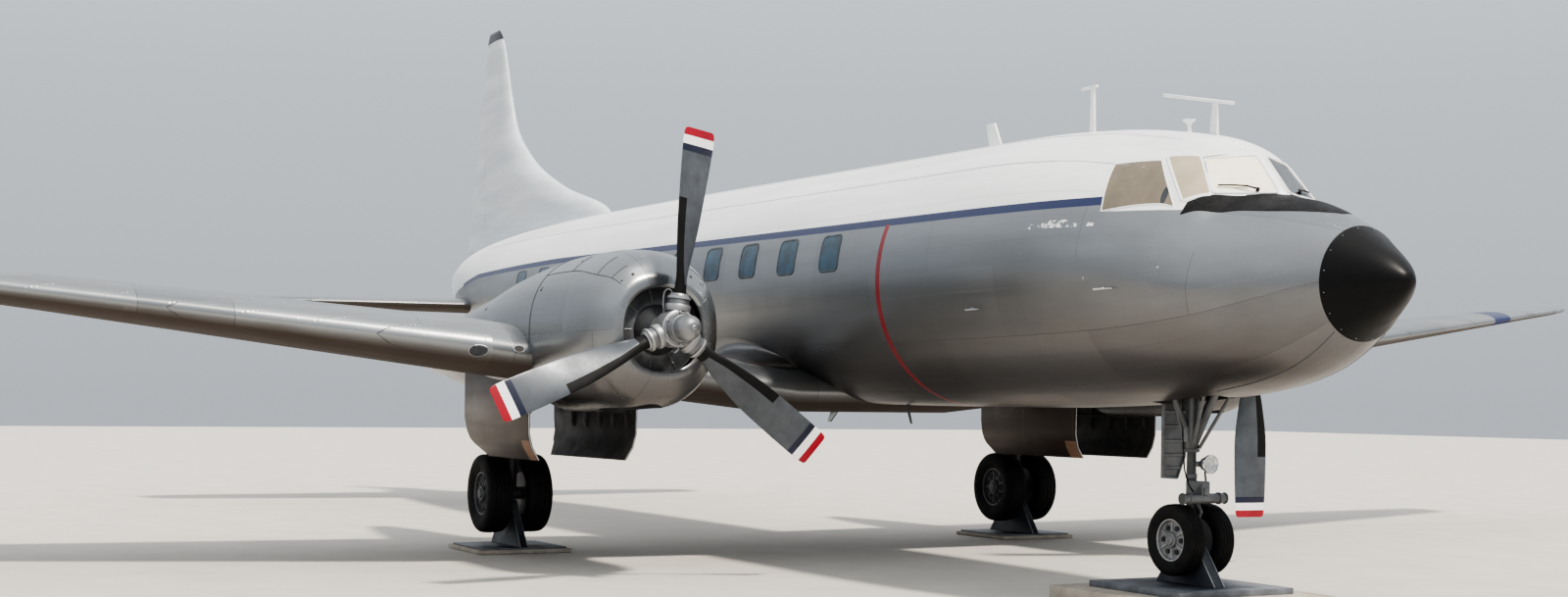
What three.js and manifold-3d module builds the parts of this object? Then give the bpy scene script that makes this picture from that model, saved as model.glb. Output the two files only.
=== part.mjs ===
import * as THREE from "three";
import Module from "manifold-3d";
import { mergeVertices } from "three/addons/utils/BufferGeometryUtils.js";

const wasm = await Module();
wasm.setup();

const group = new THREE.Group();
const gap = 0.6;
const run = 8;
const endRun = 30;

// Finishes: colour, roughness, metalness.
const looks = {
  metal: [0xb3b6b7, 0.42, 0.85],
  white: [0xe8eae8, 0.3, 0],
  black: [0x1a1c1e, 0.6, 0],
  screen: [0xb8a683, 0.5, 0],
  engine: [0x6c7073, 0.5, 0.4],
  gear: [0x8b9192, 0.5, 0.2],
  stand: [0x474c52, 0.65, 0.3],
  concrete: [0xb3afa6, 0.9, 0],
  propeller: [0x84888a, 0.45, 0.3],
  wheel: [0xa6a9a8, 0.45, 0.5],
  tyre: [0x1b1b1c, 0.85, 0],
};

function toSolid(geometry) {
  const plain = geometry.clone();
  plain.deleteAttribute("normal");
  plain.deleteAttribute("uv");
  const merged = mergeVertices(plain, 1e-3);
  const faces = [];
  const index = merged.index.array;
  for (let i = 0; i < index.length; i += 3) {
    const [a, b, c] = [index[i], index[i + 1], index[i + 2]];
    if (a !== b && b !== c && c !== a) {
      faces.push(a, b, c);
    }
  }
  const mesh = new wasm.Mesh({
    numProp: 3,
    vertProperties: new Float32Array(merged.attributes.position.array),
    triVerts: new Uint32Array(faces),
  });
  return new wasm.Manifold(mesh);
}

function toGeometry(solid) {
  const mesh = solid.getMesh();
  const geometry = new THREE.BufferGeometry();
  geometry.setAttribute("position", new THREE.BufferAttribute(new Float32Array(mesh.vertProperties), 3));
  geometry.setIndex(new THREE.BufferAttribute(new Uint32Array(mesh.triVerts), 1));
  return geometry;
}

function put(name, solid, look = "metal") {
  const [color, roughness, metalness] = looks[look];
  const material = new THREE.MeshStandardMaterial({ color, roughness, metalness });
  const mesh = new THREE.Mesh(toGeometry(solid), material);
  mesh.name = name;
  group.add(mesh);
}

function unite(...solids) {
  return solids.reduce((sum, solid) => sum.add(solid));
}

function cut(solid, ...tools) {
  return tools.reduce((left, tool) => left.subtract(tool), solid);
}

// Loft through rings of equal length; ring points are [x, y, z].
function loft(rings, flat) {
  const count = rings[0].length;
  const positions = [];
  const index = [];
  for (const ring of rings) {
    for (const point of ring) {
      positions.push(point[0], point[1], point[2]);
    }
  }
  for (let layer = 0; layer < rings.length - 1; layer += 1) {
    for (let i = 0; i < count; i += 1) {
      const j = (i + 1) % count;
      const a = layer * count + i;
      const b = layer * count + j;
      const c = a + count;
      const d = b + count;
      index.push(a, b, d, a, d, c);
    }
  }
  const outline = flat.map((p) => new THREE.Vector2(p[0], p[1]));
  const faces = THREE.ShapeUtils.triangulateShape(outline, []);
  const way = Math.sign(THREE.ShapeUtils.area(outline));
  const last = (rings.length - 1) * count;
  for (const face of faces) {
    const [a, b, c] = Math.sign(THREE.ShapeUtils.area(face.map((i) => outline[i]))) === way
      ? face : [face[0], face[2], face[1]];
    index.push(c, b, a);
    index.push(last + a, last + b, last + c);
  }
  const geometry = new THREE.BufferGeometry();
  geometry.setAttribute("position", new THREE.BufferAttribute(new Float32Array(positions), 3));
  geometry.setIndex(index);
  if (volumeOf(geometry) < 0) {
    const flipped = [];
    for (let i = 0; i < index.length; i += 3) {
      flipped.push(index[i], index[i + 2], index[i + 1]);
    }
    geometry.setIndex(flipped);
  }
  return toSolid(geometry);
}

function volumeOf(geometry) {
  const p = geometry.attributes.position;
  const index = geometry.index.array;
  let total = 0;
  const a = new THREE.Vector3();
  const b = new THREE.Vector3();
  const c = new THREE.Vector3();
  for (let i = 0; i < index.length; i += 3) {
    a.fromBufferAttribute(p, index[i]);
    b.fromBufferAttribute(p, index[i + 1]);
    c.fromBufferAttribute(p, index[i + 2]);
    total += a.dot(b.cross(c));
  }
  return total;
}

function box(x0, x1, y0, y1, z0, z1) {
  const geometry = new THREE.BoxGeometry(x1 - x0, y1 - y0, z1 - z0);
  geometry.translate((x0 + x1) / 2, (y0 + y1) / 2, (z0 + z1) / 2);
  return toSolid(geometry);
}

// Round bar between two points, with its own radius at each end.
function bar(from, to, r0, r1 = r0, sides = 16) {
  const a = new THREE.Vector3(...from);
  const b = new THREE.Vector3(...to);
  const way = b.clone().sub(a);
  const geometry = new THREE.CylinderGeometry(r1, r0, way.length(), sides);
  const turn = new THREE.Quaternion().setFromUnitVectors(new THREE.Vector3(0, 1, 0), way.clone().normalize());
  geometry.applyQuaternion(turn);
  const mid = a.add(b).multiplyScalar(0.5);
  geometry.translate(mid.x, mid.y, mid.z);
  return toSolid(geometry);
}

// Solid of revolution about a line along Y or X; profile rows are [along, radius].
function turned(profile, axis, centre, sides = 32) {
  const points = profile.map((row) => new THREE.Vector2(row[1], row[0]));
  const geometry = new THREE.LatheGeometry(points, sides);
  if (axis === "x") {
    geometry.rotateZ(-Math.PI / 2);
  }
  if (volumeOf(geometry) < 0) {
    const index = [...geometry.index.array];
    for (let i = 0; i < index.length; i += 3) {
      [index[i + 1], index[i + 2]] = [index[i + 2], index[i + 1]];
    }
    geometry.setIndex(index);
  }
  geometry.translate(...centre);
  return toSolid(geometry);
}

// Plate: outline of [a, b] points pushed along one axis.
function plate(outline, axis, low, high) {
  const at = {
    x: (p, t) => [t, p[0], p[1]],
    y: (p, t) => [p[0], t, p[1]],
    z: (p, t) => [p[0], p[1], t],
  }[axis];
  const rings = [low, high].map((t) => outline.map((p) => at(p, t)));
  return loft(rings, outline);
}

// Fuselage sections: x, top, widest height, bottom, half width, narrowing of the upper half.
const hull = [
  [11872, 3443, 2951, 2459, 492, 0],
  [11620, 3572, 2935, 2300, 622, 0.01],
  [11300, 3700, 2930, 2165, 790, 0.03],
  [10820, 3830, 2950, 2050, 1010, 0.1],
  [10590, 4095, 2980, 2015, 1085, 0.12],
  [10330, 4330, 3030, 1985, 1165, 0.08],
  [9700, 4490, 3140, 1935, 1300, 0.02],
  [8800, 4620, 3250, 1890, 1390, 0],
  [7700, 4695, 3280, 1866, 1424, 0],
  [6200, 4722, 3294, 1866, 1428, 0],
  [-2300, 4866, 3438, 2010, 1428, 0],
  [-4800, 4890, 3520, 2170, 1395, 0],
  [-7300, 4865, 3700, 2560, 1215, 0],
  [-9800, 4760, 3900, 3060, 880, 0],
  [-11600, 4560, 4060, 3560, 430, 0],
  [-12250, 4400, 4150, 3890, 200, 0],
  [-12413, 4250, 4178, 4100, 70, 0],
];

function hullAt(x) {
  for (let i = 0; i < hull.length - 1; i += 1) {
    const a = hull[i];
    const b = hull[i + 1];
    if (x <= a[0] && x >= b[0]) {
      const t = (a[0] - x) / (a[0] - b[0]);
      return a.map((value, k) => value + (b[k] - value) * t);
    }
  }
  return x > hull[0][0] ? hull[0] : hull[hull.length - 1];
}

function hullRing(x, grow = 0, sides = 36) {
  const [, top, wide, bottom, half, pinch] = hullAt(x);
  const ring = [];
  for (let i = 0; i < sides; i += 1) {
    const angle = (i / sides) * 2 * Math.PI;
    const c = Math.cos(angle);
    const s = Math.sin(angle);
    const rise = s > 0 ? top - wide : wide - bottom;
    const narrow = s > 0 ? 1 - pinch * s : 1;
    ring.push([x, (half + grow) * c * narrow, wide + (rise + grow) * s]);
  }
  return ring;
}

function hullPiece(x0, x1, grow = 0) {
  const stops = hull.map((row) => row[0]).filter((x) => x < x1 - 1 && x > x0 + 1);
  const xs = [x1, ...stops, x0];
  const rings = xs.map((x) => hullRing(x, grow));
  rings[0] = rings[0].map((p) => [p[0], p[1], p[2]]);
  return loft(rings, rings[0].map((p) => [p[1], p[2]]));
}

// Aerofoil outline with its nose at 0, [aft, up] as fractions of the chord.
const stops = [0, 0.012, 0.04, 0.09, 0.17, 0.3, 0.45, 0.6, 0.75, 0.88, 1];

function foil(thick, camber) {
  const half = (t) => 5 * thick * (0.2969 * Math.sqrt(t) - 0.126 * t - 0.3516 * t * t
    + 0.2843 * t ** 3 - 0.1 * t ** 4);
  const mean = (t) => camber * 4 * t * (1 - t);
  const over = stops.map((t) => [t, mean(t) + half(t)]);
  const under = stops.slice(1).reverse().map((t) => [t, mean(t) - half(t)]);
  return [...over, ...under];
}

function grown(outline, d) {
  const n = outline.length;
  let area = 0;
  for (let i = 0; i < n; i += 1) {
    const p = outline[i];
    const q = outline[(i + 1) % n];
    area += p[0] * q[1] - q[0] * p[1];
  }
  const side = area > 0 ? 1 : -1;
  return outline.map((p, i) => {
    const before = outline[(i + n - 1) % n];
    const after = outline[(i + 1) % n];
    const u = new THREE.Vector2(p[0] - before[0], p[1] - before[1]).normalize();
    const v = new THREE.Vector2(after[0] - p[0], after[1] - p[1]).normalize();
    const nu = new THREE.Vector2(u.y, -u.x).multiplyScalar(side);
    const nv = new THREE.Vector2(v.y, -v.x).multiplyScalar(side);
    const m = nu.clone().add(nv);
    const k = Math.max(0.35, m.length() / 2);
    m.normalize().multiplyScalar(d / k);
    return [p[0] + m.x, p[1] + m.y];
  });
}

// Wing: front edge, rear edge and height by distance out from the centre line.
const span = 16050;
const kink = 5000;
const rib = 9500;
// Depth of the wing outboard of the kink: out, full thickness.
const depths = [[kink, 636], [rib, 392], [span, 123]];

function depthAt(y) {
  const [a, b] = y > rib ? [depths[1], depths[2]] : [depths[0], depths[1]];
  return a[1] + ((b[1] - a[1]) * (y - a[0])) / (b[0] - a[0]);
}

const wing = {
  nose: (y) => 4075 - 0.298 * Math.max(0, Math.abs(y) - kink),
  rear: (y) => 596 - 0.0582 * Math.max(0, Math.abs(y) - 1200),
  chord: (y) => wing.nose(y) - wing.rear(y),
  height: (y) => 2440 + 0.1128 * (Math.max(Math.abs(y), 1200) - kink),
  thick: (y) => (Math.abs(y) > kink ? depthAt(Math.abs(y)) / wing.chord(y) : 0.172),
};

function wingRing(y, grow = 0, squeeze = 1, back = 0) {
  const chord = wing.chord(y) * squeeze;
  const outline = foil(wing.thick(y), 0.02).map((p) => [p[0] * chord, p[1] * chord]);
  const points = grow ? grown(outline, grow) : outline;
  const nose = wing.nose(y) - back;
  return points.map((p) => [nose - p[0], y, wing.height(y) + p[1]]);
}

function wingPiece(y0, y1, grow = 0) {
  const ys = [y0, -rib, -kink, -1200, 1200, kink, rib, y1];
  const rings = ys.map((y) => wingRing(y, grow));
  return loft(rings, foil(0.14, 0.02));
}

function wingTip(side) {
  const rows = [
    // out, squeeze, back
    [15350, 1, 0],
    [15750, 0.9, 60],
    [15970, 0.7, 200],
    [16050, 0.42, 420],
  ];
  const rings = rows.map((row) => wingRing(side * row[0], 0, row[1], row[2]));
  return loft(rings, foil(0.14, 0.02));
}

// Half thickness of an aerofoil at a share of its chord.
function halfAt(thick, chord, t) {
  return 5 * thick * chord * (0.2969 * Math.sqrt(t) - 0.126 * t - 0.3516 * t * t
    + 0.2843 * t ** 3 - 0.1 * t ** 4);
}

// Round nose ahead of a hinge point and all that is behind it, as [fore, up] points.
function hingeOutline(x, z, over, under, behind = 2600, reach = 1200) {
  const steps = 16;
  const list = [];
  for (let i = 0; i <= steps; i += 1) {
    const angle = Math.PI / 2 - (i / steps) * Math.PI;
    const r = angle > 0 ? over : under;
    list.push([x + r * Math.cos(angle), z + r * Math.sin(angle)]);
  }
  list.push([x, z - reach]);
  list.push([x - behind, z - reach]);
  list.push([x - behind, z + reach]);
  list.push([x, z + reach]);
  return list;
}

// Rows: out, hinge x, hinge z, upper radius, lower radius.
function surfaceTool(rows, side, ends) {
  const last = rows.length - 1;
  const rings = rows.map((row, i) => {
    const shift = i === 0 ? -ends : (i === last ? ends : 0);
    return hingeOutline(row[1], row[2], row[3], row[4]).map((p) => [p[0], side * (row[0] + shift), p[1]]);
  });
  return loft(rings, rings[0].map((p) => [p[0], p[2]]));
}

function wingHinge(y, part) {
  const chord = wing.chord(y);
  return [y, wing.nose(y) - part * chord, wing.height(y) + 0.08 * part * (1 - part) * chord];
}

// Point of a straight hinge line, with the half thickness of the wing there.
function hingeAt(line, y) {
  const [a, b] = line;
  const k = (y - a[0]) / (b[0] - a[0]);
  const x = a[1] + (b[1] - a[1]) * k;
  const z = a[2] + (b[2] - a[2]) * k;
  const chord = wing.chord(y);
  const t = (wing.nose(y) - x) / chord;
  const off = Math.abs(z - wing.height(y) - 0.08 * t * (1 - t) * chord);
  return { y, x, z, half: halfAt(wing.thick(y), chord, t), off };
}

// Pointed hinge pins, from the fixed wing at each end to the hinged surface between them.
function hingePins(rows, side) {
  const [a, b] = [rows[0], rows[rows.length - 1]].map((row) => new THREE.Vector3(row[1], side * row[0], row[2]));
  const way = b.clone().sub(a).normalize();
  const at = (point, d) => point.clone().addScaledVector(way, d).toArray();
  return unite(
    bar(at(a, -endRun - 6), at(a, -0.5), 14, 2, 10),
    bar(at(b, endRun + 6), at(b, 0.5), 14, 2, 10),
  );
}

const wingFull = unite(wingPiece(-15352, 15352), wingTip(1), wingTip(-1));

// Flaps run from the body to the ailerons on both sides of each nacelle.
const nacelleY = 3810;
const flapLine = [wingHinge(1640, 0.72), wingHinge(9400, 0.72)];
const aileronLine = [wingHinge(9600, 0.76), wingHinge(15200, 0.76)];
const surfaces = [
  // name, hinge line, stations, widening above and below for its swing
  ["flap_inner", flapLine, [1640, 3080], 1, 1.075],
  ["flap_outer", flapLine, [4540, kink, 9400], 1, 1.075],
  ["aileron", aileronLine, [9600, 15200], 1.02, 1.02],
];

let wingFixed = wingFull;
for (const side of [1, -1]) {
  for (const [name, line, stations, over, under] of surfaces) {
    const spots = stations.map((y) => hingeAt(line, y));
    const nose = spots.map((p) => [p.y, p.x, p.z, 0.97 * p.half - p.off, 0.97 * p.half - p.off]);
    const room = spots.map((p) => [p.y, p.x, p.z, over * (p.half + p.off) + run, under * (p.half + p.off) + run]);
    wingFixed = cut(wingFixed, surfaceTool(room, side, endRun)).add(hingePins(nose, side));
    put(`${name}_${side > 0 ? "left" : "right"}`, surfaceTool(nose, side, 0).intersect(wingFull));
  }
}

const joinY = kink;
put("wing_centre", wingFixed.intersect(box(-9000, 9000, -joinY, joinY, 0, 9000)));
put("wing_left", wingFixed.intersect(box(-9000, 9000, joinY + gap, 17000, 0, 9000)));
put("wing_right", wingFixed.intersect(box(-9000, 9000, -17000, -joinY - gap, 0, 9000)));

const wingGrown = wingPiece(-15352, 15352, gap).intersect(box(-9000, 9000, -6500, 6500, 0, 9000));

// Fin and rudder, with the long fairing ahead of the fin: height, nose x, rear x, thickness share.
const finRows = [
  [4500, -4300, -12000, 0.056],
  [5000, -4850, -11856, 0.062],
  [5550, -6840, -11706, 0.088],
  [6130, -8300, -11548, 0.118],
  [6860, -9250, -11350, 0.13],
  [7430, -9530, -11195, 0.125],
  [8640, -10050, -10865, 0.11],
  [8796, -10220, -10760, 0.09],
];

function finRing(row, grow = 0) {
  const chord = row[1] - row[2];
  const outline = foil(row[3], 0).map((p) => [p[0] * chord, p[1] * chord]);
  const points = grow ? grown(outline, grow) : outline;
  return points.map((p) => [row[1] - p[0], p[1], row[0]]);
}

function finAt(z) {
  const i = Math.max(1, finRows.findIndex((row) => row[0] >= z));
  const [a, b] = [finRows[i - 1], finRows[i]];
  const k = (z - a[0]) / (b[0] - a[0]);
  return a.map((value, n) => value + (b[n] - value) * k);
}

const finFull = loft(finRows.map((row) => finRing(row)), foil(0.1, 0));

// Rudder hinge line leans a little aft towards the foot.
const rudderHinge = { z0: 4700, x0: -10700, z1: 8560, x1: -10560 };
const rudderHeights = [4700, 5550, 6130, 6860, 7430, 8560];

function rudderTool(fixed) {
  const h = rudderHinge;
  const rings = rudderHeights.map((z, i) => {
    const x = h.x0 + ((h.x1 - h.x0) * (z - h.z0)) / (h.z1 - h.z0);
    const [, nose, rear, thick] = finAt(z);
    const half = halfAt(thick, nose - rear, (nose - x) / (nose - rear));
    const r = fixed ? 1.02 * half + run + 1 : 0.97 * half;
    const end = fixed ? run : 0;
    const level = i === 0 ? z - end : (i === rudderHeights.length - 1 ? z + end : z);
    return hingeOutline(x, 0, r, r, 2600, 900).map((p) => [p[0], p[1], level]);
  });
  return loft(rings, rings[0].map((p) => [p[0], p[1]]));
}

put("rudder", rudderTool(false).intersect(finFull), "white");
const rudderPin = bar([rudderHinge.x1, 0, rudderHinge.z1 + 12], [rudderHinge.x1, 0, rudderHinge.z1 + 0.5], 14, 3, 10);
const finFixed = cut(finFull, rudderTool(true), hullPiece(-12413, -2300, gap)).add(rudderPin);
put("fin", finFixed, "white");

// Tailplane, one piece through the tail, with both elevators behind it.
const tail = {
  nose: (y) => -8550 - 0.2 * Math.abs(y),
  chord: (y) => 2450 - (1250 * Math.abs(y)) / 5560,
  height: () => 3560,
};

function tailRing(y, grow = 0, squeeze = 1, back = 0) {
  const chord = tail.chord(y) * squeeze;
  const outline = foil(0.11, 0).map((p) => [p[0] * chord, p[1] * chord]);
  const points = grow ? grown(outline, grow) : outline;
  return points.map((p) => [tail.nose(y) - back - p[0], y, tail.height(y) + p[1]]);
}

const tailEnds = [-5560, -5420, -5100, 0, 5100, 5420, 5560];
const tailSqueeze = { 5560: [0.5, 320], 5420: [0.85, 90], 5100: [1, 0], 0: [1, 0] };

function tailPiece(grow = 0) {
  const rings = tailEnds.map((y) => {
    const [squeeze, back] = tailSqueeze[Math.abs(y)];
    return tailRing(y, grow, squeeze, back);
  });
  return loft(rings, foil(0.1, 0));
}

const tailFull = tailPiece();

const tailHingeX = -10320;

function tailHinge(y) {
  const chord = tail.chord(y);
  return { y, half: halfAt(0.11, chord, (tail.nose(y) - tailHingeX) / chord), z: tail.height(y) };
}

const elevatorSpots = [tailHinge(960), tailHinge(5250)];
const elevatorRows = elevatorSpots.map((p) => [p.y, tailHingeX, p.z, 0.97 * p.half, 0.97 * p.half]);
const elevatorRoom = elevatorSpots.map((p) => {
  const r = 1.027 * p.half + run;
  return [p.y, tailHingeX, p.z, r, r];
});
let tailFixed = tailFull;
for (const side of [1, -1]) {
  tailFixed = cut(tailFixed, surfaceTool(elevatorRoom, side, endRun)).add(hingePins(elevatorRows, side));
  const word = side > 0 ? "left" : "right";
  put(`elevator_${word}`, surfaceTool(elevatorRows, side, 0).intersect(tailFull));
}
put("tailplane", tailFixed);

// Body: nose, cabin, rear cabin and tail end, cut round the wing and tailplane.
const noseBay = box(9380, 10300, -230, 230, 1500, 2650);
const bandEdge = (grow) => plate([
  [9620 - grow, 4130 + grow],
  [10480, 4150 + grow],
  [10600 + grow, 4100 + grow],
  [10850 + grow, 3800],
  [10790, 3720 - grow],
  [9780 - grow, 3640 - grow],
], "y", -1400, 1400);

// V windscreen: two flat panes that meet on a centre post, proud of the round nose.
function windscreen(grow) {
  const side = (s) => [
    [10381 + grow, s * (479 + grow), 4146 + grow],
    [10648 + grow, s * (629 + grow), 3777 - grow],
    [10300 - grow, s * (520 + grow), 3650 - grow],
    [10190 - grow, s * (430 + grow), 4255 + grow],
  ];
  const middle = [
    [10566 + grow, 0, 4228 + grow],
    [10954 + grow, 0, 3786 - grow],
    [10300 - grow, 0, 3650 - grow],
    [10280 - grow, 0, 4338 + grow],
  ];
  return loft([side(-1), middle, side(1)], side(1).map((p) => [p[0], p[2]]));
}

const noseInner = hullPiece(8800, 11872, -42);
const noseWhole = hullPiece(8800 + gap, 11872);
const bandShell = cut(noseWhole.intersect(bandEdge(0)), noseInner);
put("cockpit_glazing", bandShell.add(windscreen(0)), "screen");
const bandRoom = bandEdge(gap).subtract(hullPiece(8700, 11871, -42 - gap));
const noseBodies = cut(noseWhole, noseBay, bandRoom, windscreen(gap)).decompose();
const noseCut = noseBodies.reduce((big, body) => (body.volume() > big.volume() ? body : big));
put("nose_section", noseCut, "white");

// Airstair door in the left side ahead of the propeller, with its entry pocket.
const door = { x0: 7350, x1: 8250, z0: 2560, z1: 4330, thick: 70, hingeY: 1224 };
put("cabin", cut(hullPiece(-2300 + gap, 6800), wingGrown), "white");
const doorPocket = box(door.x0 - run, door.x1 + run, 700, 1600, door.z0 - 16, door.z1 + 24);
const doorPins = unite(
  bar([door.x0 - 14, door.hingeY, door.z0], [door.x0 - 0.5, door.hingeY, door.z0], 12, 12, 12),
  bar([door.x1 + 14, door.hingeY, door.z0], [door.x1 + 0.5, door.hingeY, door.z0], 12, 12, 12),
);
put("entry_section", cut(hullPiece(6800 + gap, 8800), doorPocket).add(doorPins), "white");
const doorShell = cut(hullPiece(7000, 8600), hullPiece(6990, 8610, -door.thick));
put("airstair_door", doorShell.intersect(box(door.x0, door.x1, 600, 1600, door.z0, door.z1)), "white");

put("rear_cabin", hullPiece(-8000 + gap, -2300), "white");
put("tail_end", cut(hullPiece(-12413, -8000), tailPiece(gap)), "white");

put("radome", turned([
  [0, 0], [0, 492], [60, 449], [143, 390], [228, 331], [314, 269], [399, 202], [462, 142], [505, 92], [531, 48], [541, 0],
], "x", [11872 + gap, 0, 2951], 36), "black");

// Nacelles: x, top, widest height, bottom, half width.
const pod = [
  [5650, 3490, 2623, 1775, 765],
  [4460, 3490, 2615, 1760, 760],
  [3980, 3470, 2610, 1755, 755],
  [2700, 3350, 2560, 1770, 715],
  [1700, 3190, 2520, 1850, 650],
  [300, 3010, 2480, 2020, 520],
  [-1100, 2800, 2440, 2190, 330],
  [-1900, 2600, 2430, 2290, 170],
];

function podRing(row, y, grow = 0) {
  const [x, top, wide, bottom, half] = row;
  const ring = [];
  for (let i = 0; i < 28; i += 1) {
    const angle = (i / 28) * 2 * Math.PI;
    const c = Math.cos(angle);
    const s = Math.sin(angle);
    const rise = s > 0 ? top - wide : wide - bottom;
    const pull = 0.86;
    const cc = Math.sign(c) * Math.abs(c) ** pull;
    const ss = Math.sign(s) * Math.abs(s) ** pull;
    ring.push([x, y + (half + grow) * cc, wide + (rise + grow) * ss]);
  }
  return ring;
}

const blades = 3;

for (const side of [1, -1]) {
  const word = side > 0 ? "left" : "right";
  const y = side * nacelleY;
  const rows = pod.filter((row) => row[0] < 4500);
  const podRings = rows.map((row) => podRing(row, y));
  const bay = box(1180, 3720, y - 560, y + 560, 1000, 2330);
  const nacelle = cut(loft(podRings, podRings[0].map((p) => [p[1], p[2]])), wingGrown, bay);
  put(`nacelle_${word}`, nacelle);

  const cowlRows = [
    [5950, 3080, 2623, 2166, 455],
    [5945, 3150, 2623, 2100, 525],
    [5880, 3250, 2623, 2010, 610],
    [5760, 3370, 2623, 1900, 690],
    [5500, 3465, 2623, 1800, 745],
    [5100, 3495, 2623, 1770, 765],
    [4460 + gap, 3490, 2615, 1760, 760],
  ];
  const innerRows = [
    [5960, 3063, 2623, 2183, 440],
    [5700, 3170, 2623, 2080, 545],
    [5300, 3380, 2623, 1880, 690],
    [4450, 3400, 2610, 1850, 690],
  ];
  const cowlRings = cowlRows.map((row) => podRing(row, y));
  const innerRings = innerRows.map((row) => podRing(row, y));
  put(`cowl_${word}`, cut(loft(cowlRings, cowlRings[0].map((p) => [p[1], p[2]])),
    loft(innerRings, innerRings[0].map((p) => [p[1], p[2]])), wingGrown));

  // Engine: crankcase, nose case and a ring of nine cylinders.
  let engine = turned([
    [0, 0], [0, 560], [300, 560], [700, 610], [760, 560], [780, 330], [1080, 240], [1240, 150],
    [1450, 130], [1496.9, 130], [1496.9, 0],
  ], "x", [4460 + gap, y, 2623], 32);
  for (let k = 0; k < 9; k += 1) {
    const a = (k * 2 * Math.PI) / 9;
    const at = (r) => [5345, y + r * Math.sin(a), 2623 + r * Math.cos(a)];
    engine = engine.add(bar(at(180), at(590), 82, 74, 12));
  }
  put(`engine_${word}`, engine, "engine");

  // Propeller: hub, dome and three blades, the first nearly upright.
  let prop = turned([
    [-260, 0], [-260, 150], [-120, 190], [120, 190], [180, 130], [380, 125], [450, 90], [470, 0],
  ], "x", [6218, y, 2623], 24);
  for (let k = 0; k < blades; k += 1) {
    const lean = (side > 0 ? -1.039 : -0.125) + (k * 2 * Math.PI) / blades;
    // Blade rows: radius, chord, thickness, twist.
    const bladeRows = [
      [140, 150, 150, -1.0],
      [420, 180, 130, -0.85],
      [700, 275, 75, -0.62],
      [1200, 380, 42, -0.47],
      [1750, 392, 26, -0.27],
      [1980, 385, 18, -0.2],
      [2035, 360, 12, -0.2],
      [2057, 300, 9, -0.2],
    ];
    const rings = bladeRows.map((row) => {
      const ring = [];
      for (let i = 0; i < 12; i += 1) {
        const angle = (i / 12) * 2 * Math.PI;
        const c = (Math.cos(angle) * row[1]) / 2;
        const t = (Math.sin(angle) * row[2]) / 2;
        const across = c * Math.cos(row[3]) - t * Math.sin(row[3]);
        const fore = c * Math.sin(row[3]) + t * Math.cos(row[3]);
        const py = -Math.sin(lean) * row[0] + Math.cos(lean) * across;
        const pz = Math.cos(lean) * row[0] + Math.sin(lean) * across;
        ring.push([6218 + fore, y + py, 2623 + pz]);
      }
      return ring;
    });
    const flat = [];
    for (let i = 0; i < 12; i += 1) {
      flat.push([Math.cos((i / 12) * 2 * Math.PI), Math.sin((i / 12) * 2 * Math.PI)]);
    }
    prop = prop.add(loft(rings, flat));
  }
  put(`propeller_${word}`, prop, "propeller");

  // Main leg with its cross axle sleeve and braces.
  const axle = [1300, y, 713];
  let leg = unite(
    bar([1300, y, 760], [1420, y, 2290], 80),
    bar([1300, y - 129.5, 713], [1300, y + 129.5, 713], 78, 78, 20),
    bar([1370, y, 1500], [3200, y, 2290], 45),
    bar([1380, y, 1700], [1420, y - side * 420, 2290], 38),
    bar([1380, y, 1700], [1420, y + side * 420, 2290], 38),
  );
  leg = cut(leg, bar([1300, y - 400, 713], [1300, y + 400, 713], 44, 44, 24), wingGrown,
    box(0, 4500, y - 700, y + 700, 2329.4, 2600));
  put(`main_leg_${word}`, leg, "gear");

  const hubs = unite(
    bar([1300, y - 350, 713], [1300, y + 350, 713], 38, 38, 24),
    turned([[-410, 0], [-410, 120], [-375, 250], [-130, 250], [-130, 0]], "y", axle, 28),
    turned([[130, 0], [130, 250], [375, 250], [410, 120], [410, 0]], "y", axle, 28),
  );
  put(`main_hubs_${word}`, hubs, "wheel");
  for (const [spot, out] of [["outer", side * 255], ["inner", -side * 255]]) {
    put(`main_tyre_${spot}_${word}`, turned([
      [-110, 250 + gap], [-152, 310], [-160, 380], [-136, 455], [-70, 489], [70, 489], [136, 455],
      [160, 380], [152, 310], [110, 250 + gap], [-110, 250 + gap],
    ], "y", [1300, y + out, 713], 28), "tyre");
  }

  // Bay doors hang open on both sides, splayed towards the front and bent inward near their lower edge.
  const doorShapes = [
    // name, side, how far the front stands out, outline in side view
    ["outer", side, 640, [[3680, 2450], [3650, 1100], [1920, 1190], [1471, 1400], [1311, 1662], [1311, 2450]]],
    ["inner", -side, 700, [[3680, 2450], [3650, 1100], [1520, 1190], [1360, 1400], [1311, 1662], [1311, 2450]]],
  ];
  const bend = [[600, 2400], [600, 1500], [560, 1340], [470, 1195], [442, 1195], [532, 1350], [570, 1505], [570, 2400]];
  for (const [spot, lean, front, outline] of doorShapes) {
    const ends = [[1300, 0], [3700, front - 600]];
    const leaf = loft(ends.map(([x, out]) => bend.map((p) => [x, y + lean * (p[0] + out), p[1]])), bend);
    const skin = rows.map((row) => podRing(row, y, gap));
    put(`gear_door_${spot}_${word}`, cut(leaf.intersect(plate(outline, "y", y - 800, y + 800)),
      loft(skin, skin[0].map((p) => [p[1], p[2]])), wingGrown));
  }

  put(`main_pad_${word}`, box(700, 1900, y - 600, y + 600, 0, 50), "concrete");
  put(`main_stand_${word}`, unite(
    box(750, 1850, y - 550, y + 550, 50 + gap, 70),
    plate([[760, 65], [1840, 65], [1430, 634.4], [1170, 634.4]], "y", y - 45, y + 45),
  ), "stand");
}

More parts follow.
